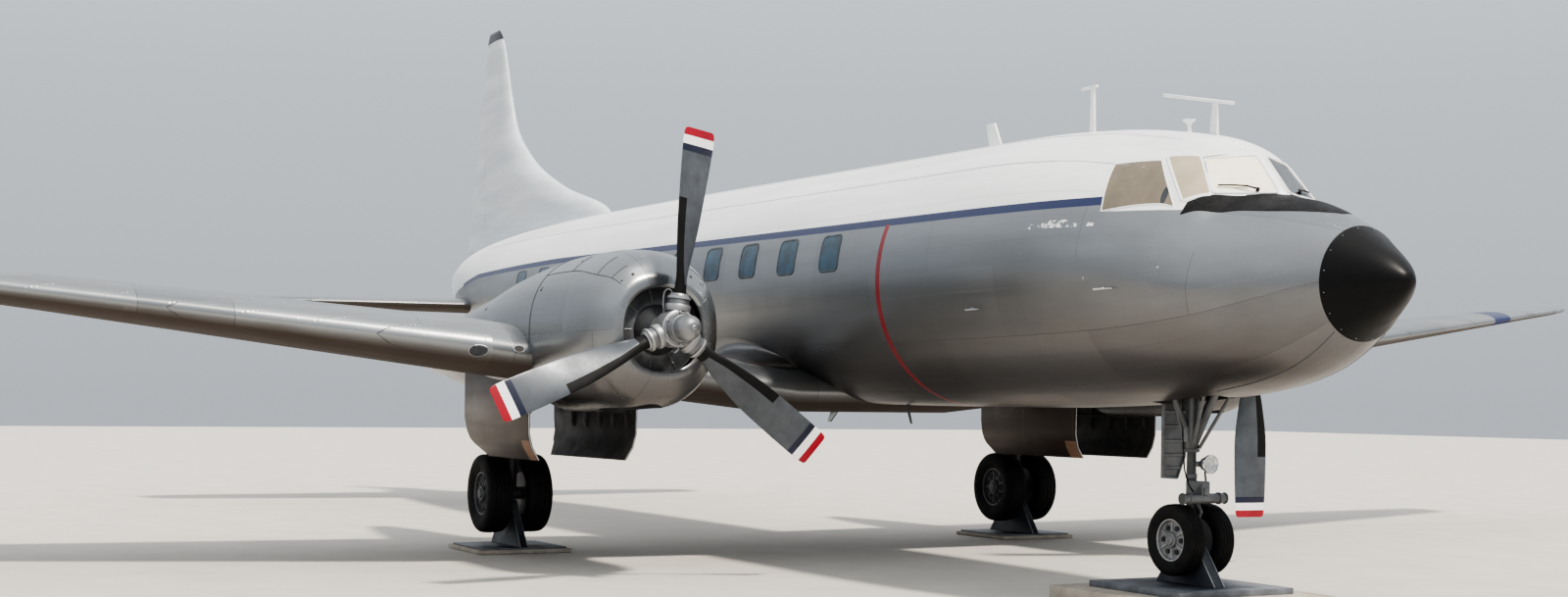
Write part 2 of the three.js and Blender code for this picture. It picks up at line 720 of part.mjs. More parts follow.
// Nose gear: leg, twin wheels, rear door, stand and pad.
const noseAxle = [9700, 0, 631];
let noseLeg = unite(
  bar([9700, 0, 680], [9700, 0, 1500], 45),
  bar([9700, 0, 1460], [9700, 0, 2660], 66),
  bar([9700, -83.5, 631], [9700, 83.5, 631], 60, 60, 20),
  bar([9700, 0, 1560], [9700, -229, 1990], 26, 26, 12),
  bar([9700, 0, 1560], [9700, 229, 1990], 26, 26, 12),
  bar([9710, 0, 1480], [10200, 0, 2300], 34, 34, 12),
  bar([9880, -260, 1030], [9880, 260, 1030], 48, 48, 16),
  box(9690, 9900, -55, 55, 1010, 1190),
  bar([9790, 80, 1351], [9868, 80, 1351], 60, 85, 20),
  box(9700, 9800, 0, 90, 1325, 1375),
);
noseLeg = cut(noseLeg, bar([9700, -300, 631], [9700, 300, 631], 34, 34, 20), bar([9700, -300, 631], [9700, -84, 631], 70, 70, 20));
put("nose_leg", noseLeg.intersect(box(9380 + gap, 10300 - gap, -230 + 0.3, 230 - 0.3, 1240, 2650 - gap)
  .add(box(9000, 10400, -270, 270, 0, 1241))), "gear");
put("nose_hubs", unite(
  bar([9700, -200, 631], [9700, 200, 631], 28, 28, 20),
  turned([[-262, 0], [-262, 90], [-242, 190], [-84, 190], [-84, 0]], "y", noseAxle, 28),
  turned([[84, 0], [84, 190], [242, 190], [262, 90], [262, 0]], "y", noseAxle, 28),
), "wheel");
for (const [word, at] of [["left", 172], ["right", -172]]) {
  put(`nose_tyre_${word}`, turned([
    [-70, 190 + gap], [-94, 236], [-97, 285], [-80, 327], [-40, 343], [40, 343], [80, 327],
    [97, 285], [94, 236], [70, 190 + gap], [-70, 190 + gap],
  ], "y", [9700, at, 631], 28), "tyre");
}
put("nose_door", cut(plate([[-78, 2100], [200, 2100], [204, 1416], [111, 1189], [-78, 1200]], "x", 9340, 9362),
  hullPiece(8800, 11872, gap)), "gear");
put("nose_pad", box(8750, 10650, -950, 950, 0, 150), "concrete");
put("nose_stand", unite(
  box(9025, 10375, -675, 675, 150 + gap, 210),
  plate([[9275, 205], [10125, 205], [9918, 488], [9858, 570.4], [9542, 570.4], [9482, 488]], "y", -57, 57),
), "stand");

// Aerials on the roof and under the belly, each standing just clear of the skin.
put("aerial_mast_front", cut(unite(
  plate([[9900, 4380], [10010, 4380], [9985, 4760], [9945, 4760]], "y", -16, 16),
  bar([9220, 0, 4910], [10220, 0, 4700], 16, 16, 10),
), hullPiece(8800, 11872, 0.3)), "white");
put("aerial_mast_rear", cut(unite(
  plate([[8050, 4600], [8130, 4600], [8110, 5165], [8070, 5165]], "y", -14, 14),
  bar([7900, 0, 5150], [8160, 0, 5150], 15, 15, 10),
), hullPiece(6200, 8900, 0.3)), "white");
put("aerial_blade_top", cut(plate([[6250, 4650], [6500, 4650], [6320, 5000], [6160, 5000]], "y", -13, 13),
  hullPiece(-2300, 8800, 0.3)), "white");
put("aerial_blade_belly", cut(plate([[2740, 1850], [2960, 1850], [2680, 1645], [2600, 1645]], "y", -12, 12),
  wingPiece(-15352, 15352, 0.3)), "metal");
put("aerial_post_belly", cut(bar([4500, 0, 1940], [4636, 0, 1652], 20, 14, 12), hullPiece(-2300, 8800, 0.3)), "black");

export default group;
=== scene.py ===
# Twin-engine military transport on three display stands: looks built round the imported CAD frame.
import bpy
import bmesh
import math
from mathutils import Matrix, Vector
from mathutils.bvhtree import BVHTree


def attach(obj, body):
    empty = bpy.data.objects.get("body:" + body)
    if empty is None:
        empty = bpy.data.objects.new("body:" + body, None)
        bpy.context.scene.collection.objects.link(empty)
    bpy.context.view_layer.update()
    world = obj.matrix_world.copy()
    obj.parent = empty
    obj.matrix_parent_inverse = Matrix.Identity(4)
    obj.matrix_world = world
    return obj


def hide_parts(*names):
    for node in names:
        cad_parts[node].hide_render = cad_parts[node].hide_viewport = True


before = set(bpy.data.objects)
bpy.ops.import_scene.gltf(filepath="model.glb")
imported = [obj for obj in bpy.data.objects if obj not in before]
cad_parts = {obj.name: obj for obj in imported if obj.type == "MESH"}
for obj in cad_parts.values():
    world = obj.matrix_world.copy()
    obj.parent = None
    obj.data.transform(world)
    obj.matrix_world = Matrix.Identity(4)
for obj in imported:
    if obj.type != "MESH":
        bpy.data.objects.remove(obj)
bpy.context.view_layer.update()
collection = bpy.context.scene.collection
print("frame loaded,", len(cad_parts), "CAD nodes")

# lengths in the tables are millimetres in the CAD frame; in the materials they are metres
podY, shaftZ, full = 3810, 2623, 2 * math.pi
hands = (("left", 1), ("right", -1))


def curveThrough(rows, column=1):
    # monotone cubic of one column over the first, so the sections flow without waves
    pairs = sorted((row[0], row[column]) for row in rows)
    xs = [p[0] for p in pairs]
    ys = [p[1] for p in pairs]
    steps = [(ys[i + 1] - ys[i]) / (xs[i + 1] - xs[i]) for i in range(len(xs) - 1)]
    slopes = [steps[0]]
    for i in range(1, len(steps)):
        a, b = steps[i - 1], steps[i]
        ha, hb = xs[i] - xs[i - 1], xs[i + 1] - xs[i]
        slopes.append(0.0 if a * b <= 0 else (ha + hb) * 3 / ((2 * hb + ha) / a + (hb + 2 * ha) / b))
    slopes.append(steps[-1])

    def value(x):
        x = min(max(x, xs[0]), xs[-1])
        i = 0
        while i < len(xs) - 2 and x > xs[i + 1]:
            i += 1
        h = xs[i + 1] - xs[i]
        t = (x - xs[i]) / h
        return ((2 * t ** 3 - 3 * t * t + 1) * ys[i] + (t ** 3 - 2 * t * t + t) * h * slopes[i]
                + (3 * t * t - 2 * t ** 3) * ys[i + 1] + (t ** 3 - t * t) * h * slopes[i + 1])
    return value


def tableCurves(rows):
    return [curveThrough(rows, k) for k in range(1, len(rows[0]))]


def readAll(curves, x):
    return [curve(x) for curve in curves]


def spread(start, end, count):
    return [start + (end - start) * i / (count - 1) for i in range(count)]


def circle(count, start=0.0):
    # angles of evenly spaced places round a full turn
    return [full * (i + start) / count for i in range(count)]


def shade(piece, sharp=32):
    mesh = piece.data
    mesh.polygons.foreach_set("use_smooth", [True] * len(mesh.polygons))
    mesh.set_sharp_from_angle(angle=math.radians(sharp))
    mesh.update()


def settle(piece, body, stands=(), slotName=None):
    if body:
        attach(piece, body)
    if stands:
        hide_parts(*stands)
    return piece


def addPiece(name, parts, look, slotName=None, body="airframe", stands=(), sharp=32):
    # one mesh of one or more closed parts, each with its points and faces
    points, faces = [], []
    for partPoints, partFaces in parts:
        shift = len(points)
        points += [(p[0] * 0.001, p[1] * 0.001, p[2] * 0.001) for p in partPoints]
        faces += [tuple(i + shift for i in face) for face in partFaces]
    mesh = bpy.data.meshes.new(name)
    mesh.from_pydata(points, [], faces)
    mesh.update()
    work = bmesh.new()
    work.from_mesh(mesh)
    bmesh.ops.recalc_face_normals(work, faces=work.faces)
    work.to_mesh(mesh)
    work.free()
    piece = bpy.data.objects.new(name, mesh)
    collection.objects.link(piece)
    for item in (look if isinstance(look, list) else [look]):
        mesh.materials.append(item)
    shade(piece, sharp)
    return settle(piece, body, stands, slotName)


def loftRows(rows, ends="capped", closed=True):
    # skin through rows of points: both ends capped, open, only the first capped, or last and first row meet
    count = len(rows[0])
    last = (len(rows) - 1) * count
    points = [p for row in rows for p in row]
    faces = []
    for i in range(len(rows) - 1):
        for j in range(count if closed else count - 1):
            k = (j + 1) % count
            faces.append((i * count + j, i * count + k, (i + 1) * count + k, (i + 1) * count + j))
    if ends in ("capped", "firstCapped"):
        faces.append(tuple(range(count)))
    if ends == "capped":
        faces.append(tuple(last + j for j in range(count)))
    if ends == "meet":
        faces += [(j, (j + 1) % count, last + (j + 1) % count, last + j) for j in range(count)]
    return points, faces


def turned(profile, centre, axis="x", sides=48, ends="capped"):
    # profile rows are [distance along the axis, radius]
    x, y, z = centre
    rows = []
    for along, radius in profile:
        row = []
        for a in circle(sides):
            c, s = math.cos(a) * radius, math.sin(a) * radius
            row.append({"x": (x + along, y + c, z + s), "y": (x + c, y + along, z + s),
                        "z": (x + c, y + s, z + along)}[axis])
        rows.append(row)
    return loftRows(rows, ends)


def rod(route, radius, sides=14):
    # round bar or hose along a list of points
    path = [Vector(p) for p in route]
    radii = radius if isinstance(radius, (list, tuple)) else [radius] * len(path)
    rows = []
    side = None
    for i, p in enumerate(path):
        ahead = (path[min(i + 1, len(path) - 1)] - path[max(i - 1, 0)]).normalized()
        if side is None:
            side = ahead.orthogonal().normalized()
        side = (side - ahead * side.dot(ahead)).normalized()
        up = ahead.cross(side)
        rows.append([tuple(p + (side * math.cos(a) + up * math.sin(a)) * radii[i]) for a in circle(sides)])
    return loftRows(rows)


def block(x0, x1, y0, y1, z0, z1):
    points = [(x, y, z) for z in (z0, z1) for x, y in ((x0, y0), (x1, y0), (x1, y1), (x0, y1))]
    return points, [(0, 3, 2, 1), (4, 5, 6, 7), (0, 1, 5, 4), (1, 2, 6, 5), (2, 3, 7, 6), (3, 0, 4, 7)]


def bakeModifiers(piece):
    graph = bpy.context.evaluated_depsgraph_get()
    mesh = bpy.data.meshes.new_from_object(piece.evaluated_get(graph))
    piece.modifiers.clear()
    old = piece.data
    piece.data = mesh
    bpy.data.meshes.remove(old)


def soften(piece, width, segments=2, angle=35, sharp=32):
    # a rounded edge, as a real folded or cast edge has
    modifier = piece.modifiers.new("edge", "BEVEL")
    modifier.width = width * 0.001
    modifier.segments = segments
    modifier.limit_method = "ANGLE"
    modifier.angle_limit = math.radians(angle)
    modifier.use_clamp_overlap = True
    bakeModifiers(piece)
    shade(piece, sharp)


def carve(piece, parts, look, sharp=32):
    # cuts closed parts out of a piece, one at a time; the cut faces take the given look
    for part in parts:
        cutter = addPiece(piece.name + "Cutter", [part], look, body=None)
        modifier = piece.modifiers.new("cut", "BOOLEAN")
        modifier.operation = "DIFFERENCE"
        modifier.solver = "EXACT"
        modifier.material_mode = "TRANSFER"
        modifier.object = cutter
        bakeModifiers(piece)
        mesh = cutter.data
        bpy.data.objects.remove(cutter)
        bpy.data.meshes.remove(mesh)
    shade(piece, sharp)


def fromCad(node, name, look, slotName, bevel=0.0, sharp=30, body="airframe"):
    # a finished copy of a CAD solid: welded, edges rounded, smooth where the real one is smooth
    weldWithin, flatBelow = 0.00002, 0.004
    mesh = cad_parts[node].data.copy()
    mesh.name = name
    mesh.materials.clear()
    if mesh.has_custom_normals:
        mesh.attributes.remove(mesh.attributes["custom_normal"])
    mesh.materials.append(look)
    work = bmesh.new()
    work.from_mesh(mesh)
    bmesh.ops.remove_doubles(work, verts=work.verts, dist=weldWithin)
    flat = [e for e in work.edges if len(e.link_faces) == 2 and e.calc_face_angle(0) < flatBelow]
    bmesh.ops.dissolve_limit(work, angle_limit=flatBelow, verts=work.verts, edges=flat)
    work.to_mesh(mesh)
    work.free()
    for face in mesh.polygons:
        face.material_index = 0
    piece = bpy.data.objects.new(name, mesh)
    collection.objects.link(piece)
    if bevel:
        soften(piece, bevel)
    shade(piece, sharp)
    return settle(piece, body, [node], slotName)


def surfaceOf(node):
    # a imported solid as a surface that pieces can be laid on
    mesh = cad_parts[node].data
    faces = [tuple(face.vertices) for face in mesh.polygons]
    return BVHTree.FromPolygons([v.co.copy() for v in mesh.vertices], faces)


def layOn(surface, start, ahead):
    # where a line from start meets the surface, and the way the surface faces there
    spot, normal = surface.ray_cast(Vector(start) * 0.001, Vector(ahead))[:2]
    if normal.dot(Vector(ahead)) > 0:
        normal.negate()
    return spot * 1000, normal


# materials

def hexColour(value):
    # six digits are an sRGB colour; any other value stays as it is
    if not isinstance(value, str):
        return value
    parts = [int(value[i:i + 2], 16) / 255 for i in (0, 2, 4)]
    return tuple(p / 12.92 if p <= 0.04045 else ((p + 0.055) / 1.055) ** 2.4 for p in parts) + (1.0,)


def setInputs(tree, node, inputs):
    for key, value in inputs.items():
        if isinstance(value, bpy.types.NodeSocket):
            tree.links.new(value, node.inputs[key])
        else:
            node.inputs[key].default_value = hexColour(value)


def addNode(tree, kind, settings=None, inputs=None, stops=()):
    node = tree.nodes.new(kind)
    for key, value in (settings or {}).items():
        setattr(node, key, value)
    setInputs(tree, node, inputs or {})
    if stops:
        elements = node.color_ramp.elements
        while len(elements) < len(stops):
            elements.new(0.5)
        for element, (place, colour) in zip(elements, stops):
            element.position = place
            element.color = hexColour(colour)
    return node


def maths(tree, operation, *values, clamp=False):
    settings = {"operation": operation, "use_clamp": clamp}
    return addNode(tree, "ShaderNodeMath", settings, dict(enumerate(values))).outputs[0]


def mixColours(tree, share, first, second, kind="MIX"):
    settings = {"data_type": "RGBA", "blend_type": kind}
    return addNode(tree, "ShaderNodeMix", settings, {0: share, 6: first, 7: second}).outputs[2]


def mixNumbers(tree, share, first, second):
    return addNode(tree, "ShaderNodeMix", {"data_type": "FLOAT"}, {0: share, 2: first, 3: second}).outputs[0]


def rescale(tree, value, *ends):
    # ends are low and high of the value, then of the result
    return addNode(tree, "ShaderNodeMapRange", None, dict(enumerate((value,) + ends))).outputs[0]


def ramp(tree, value, *stops):
    return addNode(tree, "ShaderNodeValToRGB", None, {0: value}, stops).outputs[0]


def noise(tree, scale, detail, roughness, place=None):
    inputs = {"Scale": scale, "Detail": detail, "Roughness": roughness}
    if place is not None:
        inputs["Vector"] = place
    return addNode(tree, "ShaderNodeTexNoise", None, inputs).outputs["Fac"]


def bump(tree, power, size, height, under=None, invert=False):
    inputs = {"Strength": power, "Distance": size, "Height": height}
    if under is not None:
        inputs["Normal"] = under
    return addNode(tree, "ShaderNodeBump", {"invert": invert}, inputs).outputs[0]


def lineMask(tree, value, centre, halfWidth):
    # 1 where value lies within halfWidth of centre
    apart = maths(tree, "ABSOLUTE", maths(tree, "SUBTRACT", value, centre))
    return maths(tree, "LESS_THAN", apart, halfWidth)


def allOf(tree, *masks):
    result = masks[0]
    for mask in masks[1:]:
        result = maths(tree, "MULTIPLY", result, mask)
    return result


def upward(tree):
    # how far the surface faces up
    normal = addNode(tree, "ShaderNodeNewGeometry").outputs["Normal"]
    return addNode(tree, "ShaderNodeSeparateXYZ", None, {0: normal}).outputs[2]


def startMaterial(name):
    material = bpy.data.materials.new(name)
    material.use_nodes = True
    tree = material.node_tree
    tree.nodes.clear()
    output = addNode(tree, "ShaderNodeOutputMaterial")
    shader = addNode(tree, "ShaderNodeBsdfPrincipled")
    tree.links.new(shader.outputs[0], output.inputs[0])
    return material, tree, shader, addNode(tree, "ShaderNodeTexCoord").outputs["Object"]


# seam is a joint's width; lines are (slope, height) along the hull; metallic is that of a bare sheet; the
# dark brown for low parts is painted ground shade and ground reflection, with some dust
skinLook = {
    "white": "F2F3F3", "whiteOld": "E4E6E7", "shadedFinWhite": "D2D8DD", "shadedFinWhiteOld": "C2C8CE", "navy": "0C1C4A",
    "red": "7D121E", "cap": "232428", "dustAndShadeBrown": "3A2D25", "soil": "8A8D90", "grime": "8A8681",
    "seamDirt": "626466", "seam": 0.007, "rivetPitch": 0.055, "metallic": 0.92, "underside": (-0.85, -0.1)}
paintLine = {"slope": -0.0182, "height": 3952, "top": 4022}
hullPaint = {
    "rearLine": (0.085, 4.71), "paneFoot": (-0.038, 4.041), "paneRear": 9.77, "noseEnd": 10.80,
    "lineHalf": 0.041, "lineRear": -9.3, "bandLean": (0.095, 5.905), "bandHalf": 0.043, "bandTop": 3.81,
    "flakeLine": (-0.03, 3.868), "flakeHalf": 0.036, "flakeAt": 9.18, "flakeReach": 0.56,
    "flakeGrain": (9.0, 7.0, 0.7), "flakeLevel": 0.545}


def skinMaterial(name, around, brick, tones, zones=None, rough=(0.26, 0.38), streak=(0.22, 2.4, 2.4),
                 dustAndGroundShade=(1.9, 3.2, 0.45)):
    # riveted aluminium sheet: each sheet reflects a little differently, and its seams catch dirt; low parts
    # are darkened with painted ground shade and ground reflection, with some dust
    material, tree, shader, place = startMaterial(name)
    spot = addNode(tree, "ShaderNodeSeparateXYZ", None, {0: place}).outputs
    if around in ("hull", "pod"):
        # the sheets are wrapped round the middle line of the hull or the nacelle
        out, middle, radius = spot[1], 3.25, 1.41
        if around == "pod":
            out = maths(tree, "SUBTRACT", maths(tree, "ABSOLUTE", out), podY / 1000)
            middle, radius = 2.6, 0.764
        turn = maths(tree, "ARCTAN2", maths(tree, "SUBTRACT", spot[2], middle), out)
        flat = {0: spot[0], 1: maths(tree, "MULTIPLY", turn, radius)}
    else:
        flat = {0: spot[1 if around == "wing" else 2], 1: spot[0]}
    flat = addNode(tree, "ShaderNodeCombineXYZ", None, flat).outputs[0]
    sheets = addNode(tree, "ShaderNodeTexBrick", {"offset": 0.5, "offset_frequency": 2}, {
        "Vector": flat, "Color1": (0, 0, 0, 1), "Color2": (1, 1, 1, 1), "Mortar": (0.5, 0.5, 0.5, 1),
        "Scale": 1.0, "Mortar Size": skinLook["seam"] / (3 if around == "hull" else 2), "Mortar Smooth": 0.3,
        "Bias": 0.0, "Brick Width": brick[0], "Row Height": brick[1]}).outputs
    rivetRows = addNode(tree, "ShaderNodeTexBrick", {"offset": 0.0, "offset_frequency": 2}, {
        "Vector": flat, "Scale": 1.0, "Mortar Size": 0.012, "Mortar Smooth": 0.1, "Brick Width": brick[0] / 3,
        "Row Height": brick[1] / 3}).outputs["Fac"]
    rivets = addNode(tree, "ShaderNodeTexVoronoi", {"feature": "F1"}, {
        "Vector": flat, "Scale": 1 / skinLook["rivetPitch"], "Randomness": 0.0}).outputs["Distance"]
    rivets = maths(tree, "MULTIPLY", rescale(tree, rivets, 0.2, 0.32, 1.0, 0.0), rivetRows)
    stretched = addNode(tree, "ShaderNodeMapping", None, {"Vector": place, "Scale": streak})
    streaks = noise(tree, 1.5, 6.0, 0.55, stretched.outputs[0])
    worn = ramp(tree, streaks, (0.3, (0.74, 0.73, 0.72, 1)), (0.66, (1, 1, 1, 1)))
    metal = mixColours(tree, 0.5, mixColours(tree, sheets["Color"], *tones), worn, "MULTIPLY")
    metal = mixColours(tree, sheets["Fac"], metal, skinLook["seamDirt"])
    grime = rescale(tree, noise(tree, 0.9, 5.0, 0.6, place), 0.5, 0.75, 0.0, 0.3)
    metal = mixColours(tree, grime, metal, skinLook["grime"])
    sheetRough = rescale(tree, streaks, 0.3, 0.7, rough[1], rough[0])
    sheetRough = maths(tree, "MULTIPLY_ADD", sheets["Color"], 0.07, sheetRough)
    if around == "wing":
        # the underside is darkened to brown and made rougher: painted ground shade and ground reflection,
        # with some dust
        low = rescale(tree, upward(tree), *skinLook["underside"], dustAndGroundShade[2], 0.0)
        sheetRough = maths(tree, "MULTIPLY_ADD", low, 0.55, sheetRough, clamp=True)
    else:
        # darker and browner towards the bottom: painted ground shade and ground reflection, with some dust
        low = rescale(tree, spot[2], *dustAndGroundShade, 0.0)
    metal = mixColours(tree, low, metal, skinLook["dustAndShadeBrown"])
    dents = bump(tree, 0.35, 0.012, noise(tree, 2.3, 1.5, 0.4, place))
    relief = bump(tree, 0.05, 0.002, noise(tree, 38.0, 3.0, 0.6, place), dents)
    relief = bump(tree, 0.5, 0.004, sheets["Fac"], relief, invert=True)
    relief = bump(tree, 0.22 if around == "pod" else 0.4, 0.003, rivets, relief)
    skin = {"spot": spot, "colour": metal, "metallic": skinLook["metallic"], "rough": sheetRough,
            "streaks": streaks, "seams": sheets["Fac"]}
    skin.update(zones(tree, skin) if zones else {})
    setInputs(tree, shader, {"Base Color": skin["colour"], "Metallic": skin["metallic"],
                             "Roughness": skin["rough"], "Normal": relief})
    return material


def agedWhite(tree, skin, old, new):
    # enamel that has weathered in streaks and holds dirt along its seams
    soil = maths(tree, "MULTIPLY", skin["seams"], 0.3)
    return mixColours(tree, soil, ramp(tree, skin["streaks"], (0.40, old), (0.62, new)), skinLook["soil"])


def hullZones(tree, skin):
    # white gloss enamel over a navy line, bare metal below and on the nose, a red band by the propellers
    x, z = skin["spot"][0], skin["spot"][2]
    line = maths(tree, "MULTIPLY_ADD", x, paintLine["slope"], paintLine["height"] / 1000)
    line = maths(tree, "MINIMUM", line, paintLine["top"] / 1000)
    line = maths(tree, "MINIMUM", line, maths(tree, "MULTIPLY_ADD", x, *hullPaint["rearLine"]))
    behindPane = maths(tree, "LESS_THAN", x, hullPaint["paneRear"])
    paneFoot = maths(tree, "MULTIPLY_ADD", x, *hullPaint["paneFoot"])
    above = maths(tree, "GREATER_THAN", z, mixNumbers(tree, behindPane, paneFoot, line))
    above = allOf(tree, above, maths(tree, "LESS_THAN", x, hullPaint["noseEnd"]))
    notTail = maths(tree, "GREATER_THAN", x, hullPaint["lineRear"])
    stripe = allOf(tree, lineMask(tree, z, line, hullPaint["lineHalf"]), behindPane, notTail)
    band = lineMask(tree, x, maths(tree, "MULTIPLY_ADD", z, *hullPaint["bandLean"]), hullPaint["bandHalf"])
    band = allOf(tree, band, maths(tree, "LESS_THAN", z, hullPaint["bandTop"]))
    # old white paint left in chips under the line, beside the entry
    flakes = maths(tree, "GREATER_THAN", noise(tree, *hullPaint["flakeGrain"]), hullPaint["flakeLevel"])
    flakeLine = maths(tree, "MULTIPLY_ADD", x, *hullPaint["flakeLine"])
    flakes = allOf(tree, flakes, lineMask(tree, z, flakeLine, hullPaint["flakeHalf"]),
                   lineMask(tree, x, hullPaint["flakeAt"], hullPaint["flakeReach"]))
    above = maths(tree, "MAXIMUM", above, flakes)
    white = agedWhite(tree, skin, skinLook["whiteOld"], skinLook["white"])
    colour = mixColours(tree, above, skin["colour"], white)
    colour = mixColours(tree, stripe, colour, skinLook["navy"])
    colour = mixColours(tree, band, colour, skinLook["red"])
    paint = maths(tree, "MAXIMUM", maths(tree, "MAXIMUM", above, stripe), band)
    return {"colour": colour, "metallic": rescale(tree, paint, 0.0, 1.0, skinLook["metallic"], 0.0),
            "rough": mixNumbers(tree, paint, skin["rough"], 0.3)}


def wingZones(tree, skin):
    # a navy band of paint near each wing tip, and an underside that is less metallic under its painted ground
    # shade
    bandMiddle, bandHalf, undersideMetallic = 13.36, 0.27, 0.15
    band = lineMask(tree, maths(tree, "ABSOLUTE", skin["spot"][1]), bandMiddle, bandHalf)
    metallic = rescale(tree, upward(tree), *skinLook["underside"], undersideMetallic, skinLook["metallic"])
    return {"colour": mixColours(tree, band, skin["colour"], skinLook["navy"]),
            "metallic": allOf(tree, metallic, maths(tree, "SUBTRACT", 1.0, band))}


def tailZones(tree, skin):
    # white enamel fin and rudder with a dark cap; their white is a greyer, bluer copy of the hull's white,
    # painted shade of the fin's side
    capFrom = 8.60
    cap = maths(tree, "GREATER_THAN", skin["spot"][2], capFrom)
    white = agedWhite(tree, skin, skinLook["shadedFinWhiteOld"], skinLook["shadedFinWhite"])
    return {"colour": mixColours(tree, cap, white, skinLook["cap"]),
            "metallic": rescale(tree, cap, 0.0, 1.0, 0.0, 0.05),
            "rough": rescale(tree, skin["streaks"], 0.3, 0.7, 0.42, 0.26)}


def gearDoorZones(tree, skin):
    # the turned-in front corner is scoured and brown with gravel dust
    cornerTop, cornerRear = 1.42, 3.40
    corner = allOf(tree, maths(tree, "LESS_THAN", skin["spot"][2], cornerTop),
                   maths(tree, "GREATER_THAN", skin["spot"][0], cornerRear))
    dust = ramp(tree, skin["streaks"], (0.35, "6E5546"), (0.65, "8F705C"))
    return {"colour": mixColours(tree, corner, skin["colour"], dust),
            "metallic": rescale(tree, corner, 0.0, 1.0, 0.9, 0.35)}


# bare and painted sheet: dull above, mirror-like on the nacelles, darker towards the bottom with painted
# ground shade and some dust; the gear doors are dark with painted shade
hullSkin = skinMaterial("rolledAluminiumAndEnamelHull", "hull", (2.4, 0.74), ("85888B", "96999C"), hullZones,
                        dustAndGroundShade=(1.9, 3.35, 0.84))
wingSkin = skinMaterial("rolledAluminiumWing", "wing", (1.9, 0.62), ("8D9092", "9C9FA1"), wingZones,
                        (0.23, 0.36), (2.4, 0.5, 2.4), (1.9, 2.38, 0.95))
podSkin = skinMaterial("polishedAluminiumNacelle", "pod", (1.43, 0.96), ("86898C", "95989B"),
                       rough=(0.19, 0.32), dustAndGroundShade=(1.75, 2.75, 0.75))
# the gear doors sit in shade under the nacelles: their dark tones are painted shade, and the left ones, in
# the hull's shadow, take a still darker copy
gearDoorSkin = skinMaterial("shadedAluminiumGearDoor", "pod", (1.2, 0.6), ("5C5855", "6A6562"), gearDoorZones,
                            (0.3, 0.44), dustAndGroundShade=(1.0, 2.6, 0.62))
deepShadeDoorSkin = skinMaterial("deepShadedAluminiumGearDoor", "pod", (1.2, 0.6), ("3B3836", "474341"),
                             gearDoorZones, (0.34, 0.48), dustAndGroundShade=(1.0, 2.6, 0.7))
finSkin = skinMaterial("whiteEnamelOnAluminiumFin", "fin", (1.5, 0.9), ("8C8F92", "A2A5A7"), tailZones)


def coated(name, tones, rough, metallic=0.0, grain=60.0, bumpSize=0.0006, bumpPower=0.25, wear=None,
           coat=0.0, soil=None, mirror=0.5):
    # one coat of paint or one cast or moulded surface: two tones, uneven gloss and a fine bump
    material, tree, shader, place = startMaterial(name)
    broad = noise(tree, 5.0, 6.0, 0.62, place)
    fine = noise(tree, grain, 4.0, 0.6, place)
    colour = ramp(tree, broad, (0.35, tones[0]), (0.65, tones[1]))
    if soil:
        colour = mixColours(tree, rescale(tree, fine, 0.52, 0.7, 0.0, 0.6), colour, soil)
    if wear:
        # worn corners: the pointiness of the surface shows bare metal or dust
        edge = addNode(tree, "ShaderNodeNewGeometry").outputs["Pointiness"]
        edge = rescale(tree, edge, 0.515, 0.56, 0.0, 0.85)
        colour = mixColours(tree, maths(tree, "MULTIPLY", edge, broad), colour, wear)
    gloss = rescale(tree, broad, 0.3, 0.7, rough[1], rough[0])
    setInputs(tree, shader, {
        "Base Color": colour, "Roughness": gloss, "Metallic": metallic, "Coat Weight": coat,
        "Specular IOR Level": mirror, "Normal": bump(tree, bumpPower, bumpSize, fine)})
    return material


# moulded glass-fibre under satin black rain-erosion paint: soft highlight, faint scuffs
radomePaint = coated("satinBlackMouldedRadome", ("070708", "0C0C0E"), (0.36, 0.5), grain=24.0,
                     bumpSize=0.001, bumpPower=0.1, mirror=0.16)
# matt black anti-glare paint, brushed on, dusty
glarePaint = coated("mattBlackGlarePaint", ("0D0D0F", "161618"), (0.55, 0.7), grain=40.0, soil="242426",
                    mirror=0.18)
# white gloss enamel on frames and aerials
whitePaint = coated("whiteGlossEnamel", ("E2E4E4", "EFF1F1"), (0.28, 0.42), grain=30.0, bumpPower=0.12)
# cloth blinds behind the cockpit panes: flat warm beige in front, and two darker copies towards the side,
# painted shade
blind = {"rough": (0.5, 0.62), "grain": 220.0, "bumpPower": 0.3}
blindPaint = coated("beigeWovenBlind", ("F1E7D2", "FBF3E2"), coat=0.4, **blind)
paintedShadeBlind = coated("shadedWovenBlind", ("A39680", "B2A58E"), coat=0.4, **blind)
paintedDeepShadeBlind = coated("deepShadeWovenBlind", ("675E4F", "756B5A"), coat=0.3, **blind)
# laminated pane over a dark inside: grey, smooth, a weak reflection; on the far front pane its dark grey is
# painted shade over the blind
smokedPane = coated("smokedLaminatedPane", ("2E3035", "414449"), (0.14, 0.26), grain=8.0, bumpPower=0.05,
                    mirror=0.25)
# cabin panes: tinted, smooth and glossy over a dark cabin; their blue-green tone is partly a painted sky
# reflection
windowPane = coated("tintedPaneWithPaintedSky", ("0C2836", "1E4A62"), (0.06, 0.14), grain=6.0, bumpPower=0.05,
                    coat=0.1)
# window seals: black rubber on pressed frames, a thin dark outline
windowSeal = coated("pressedRubberSeal", ("2F3438", "454B50"), (0.4, 0.55), 0.2, 70.0)
# pressed frames, rims and rails: pale satin metal
frameMetal = coated("pressedAluminiumFrame", ("8D9194", "A5A8AA"), (0.32, 0.45), 0.9)
# insides of bays and outlets: painted shade, near black and dull, so an opening reads as deep
darkHole = coated("paintedShadeInside", ("17181A", "26272A"), (0.6, 0.8), grain=45.0, soil="34322F")
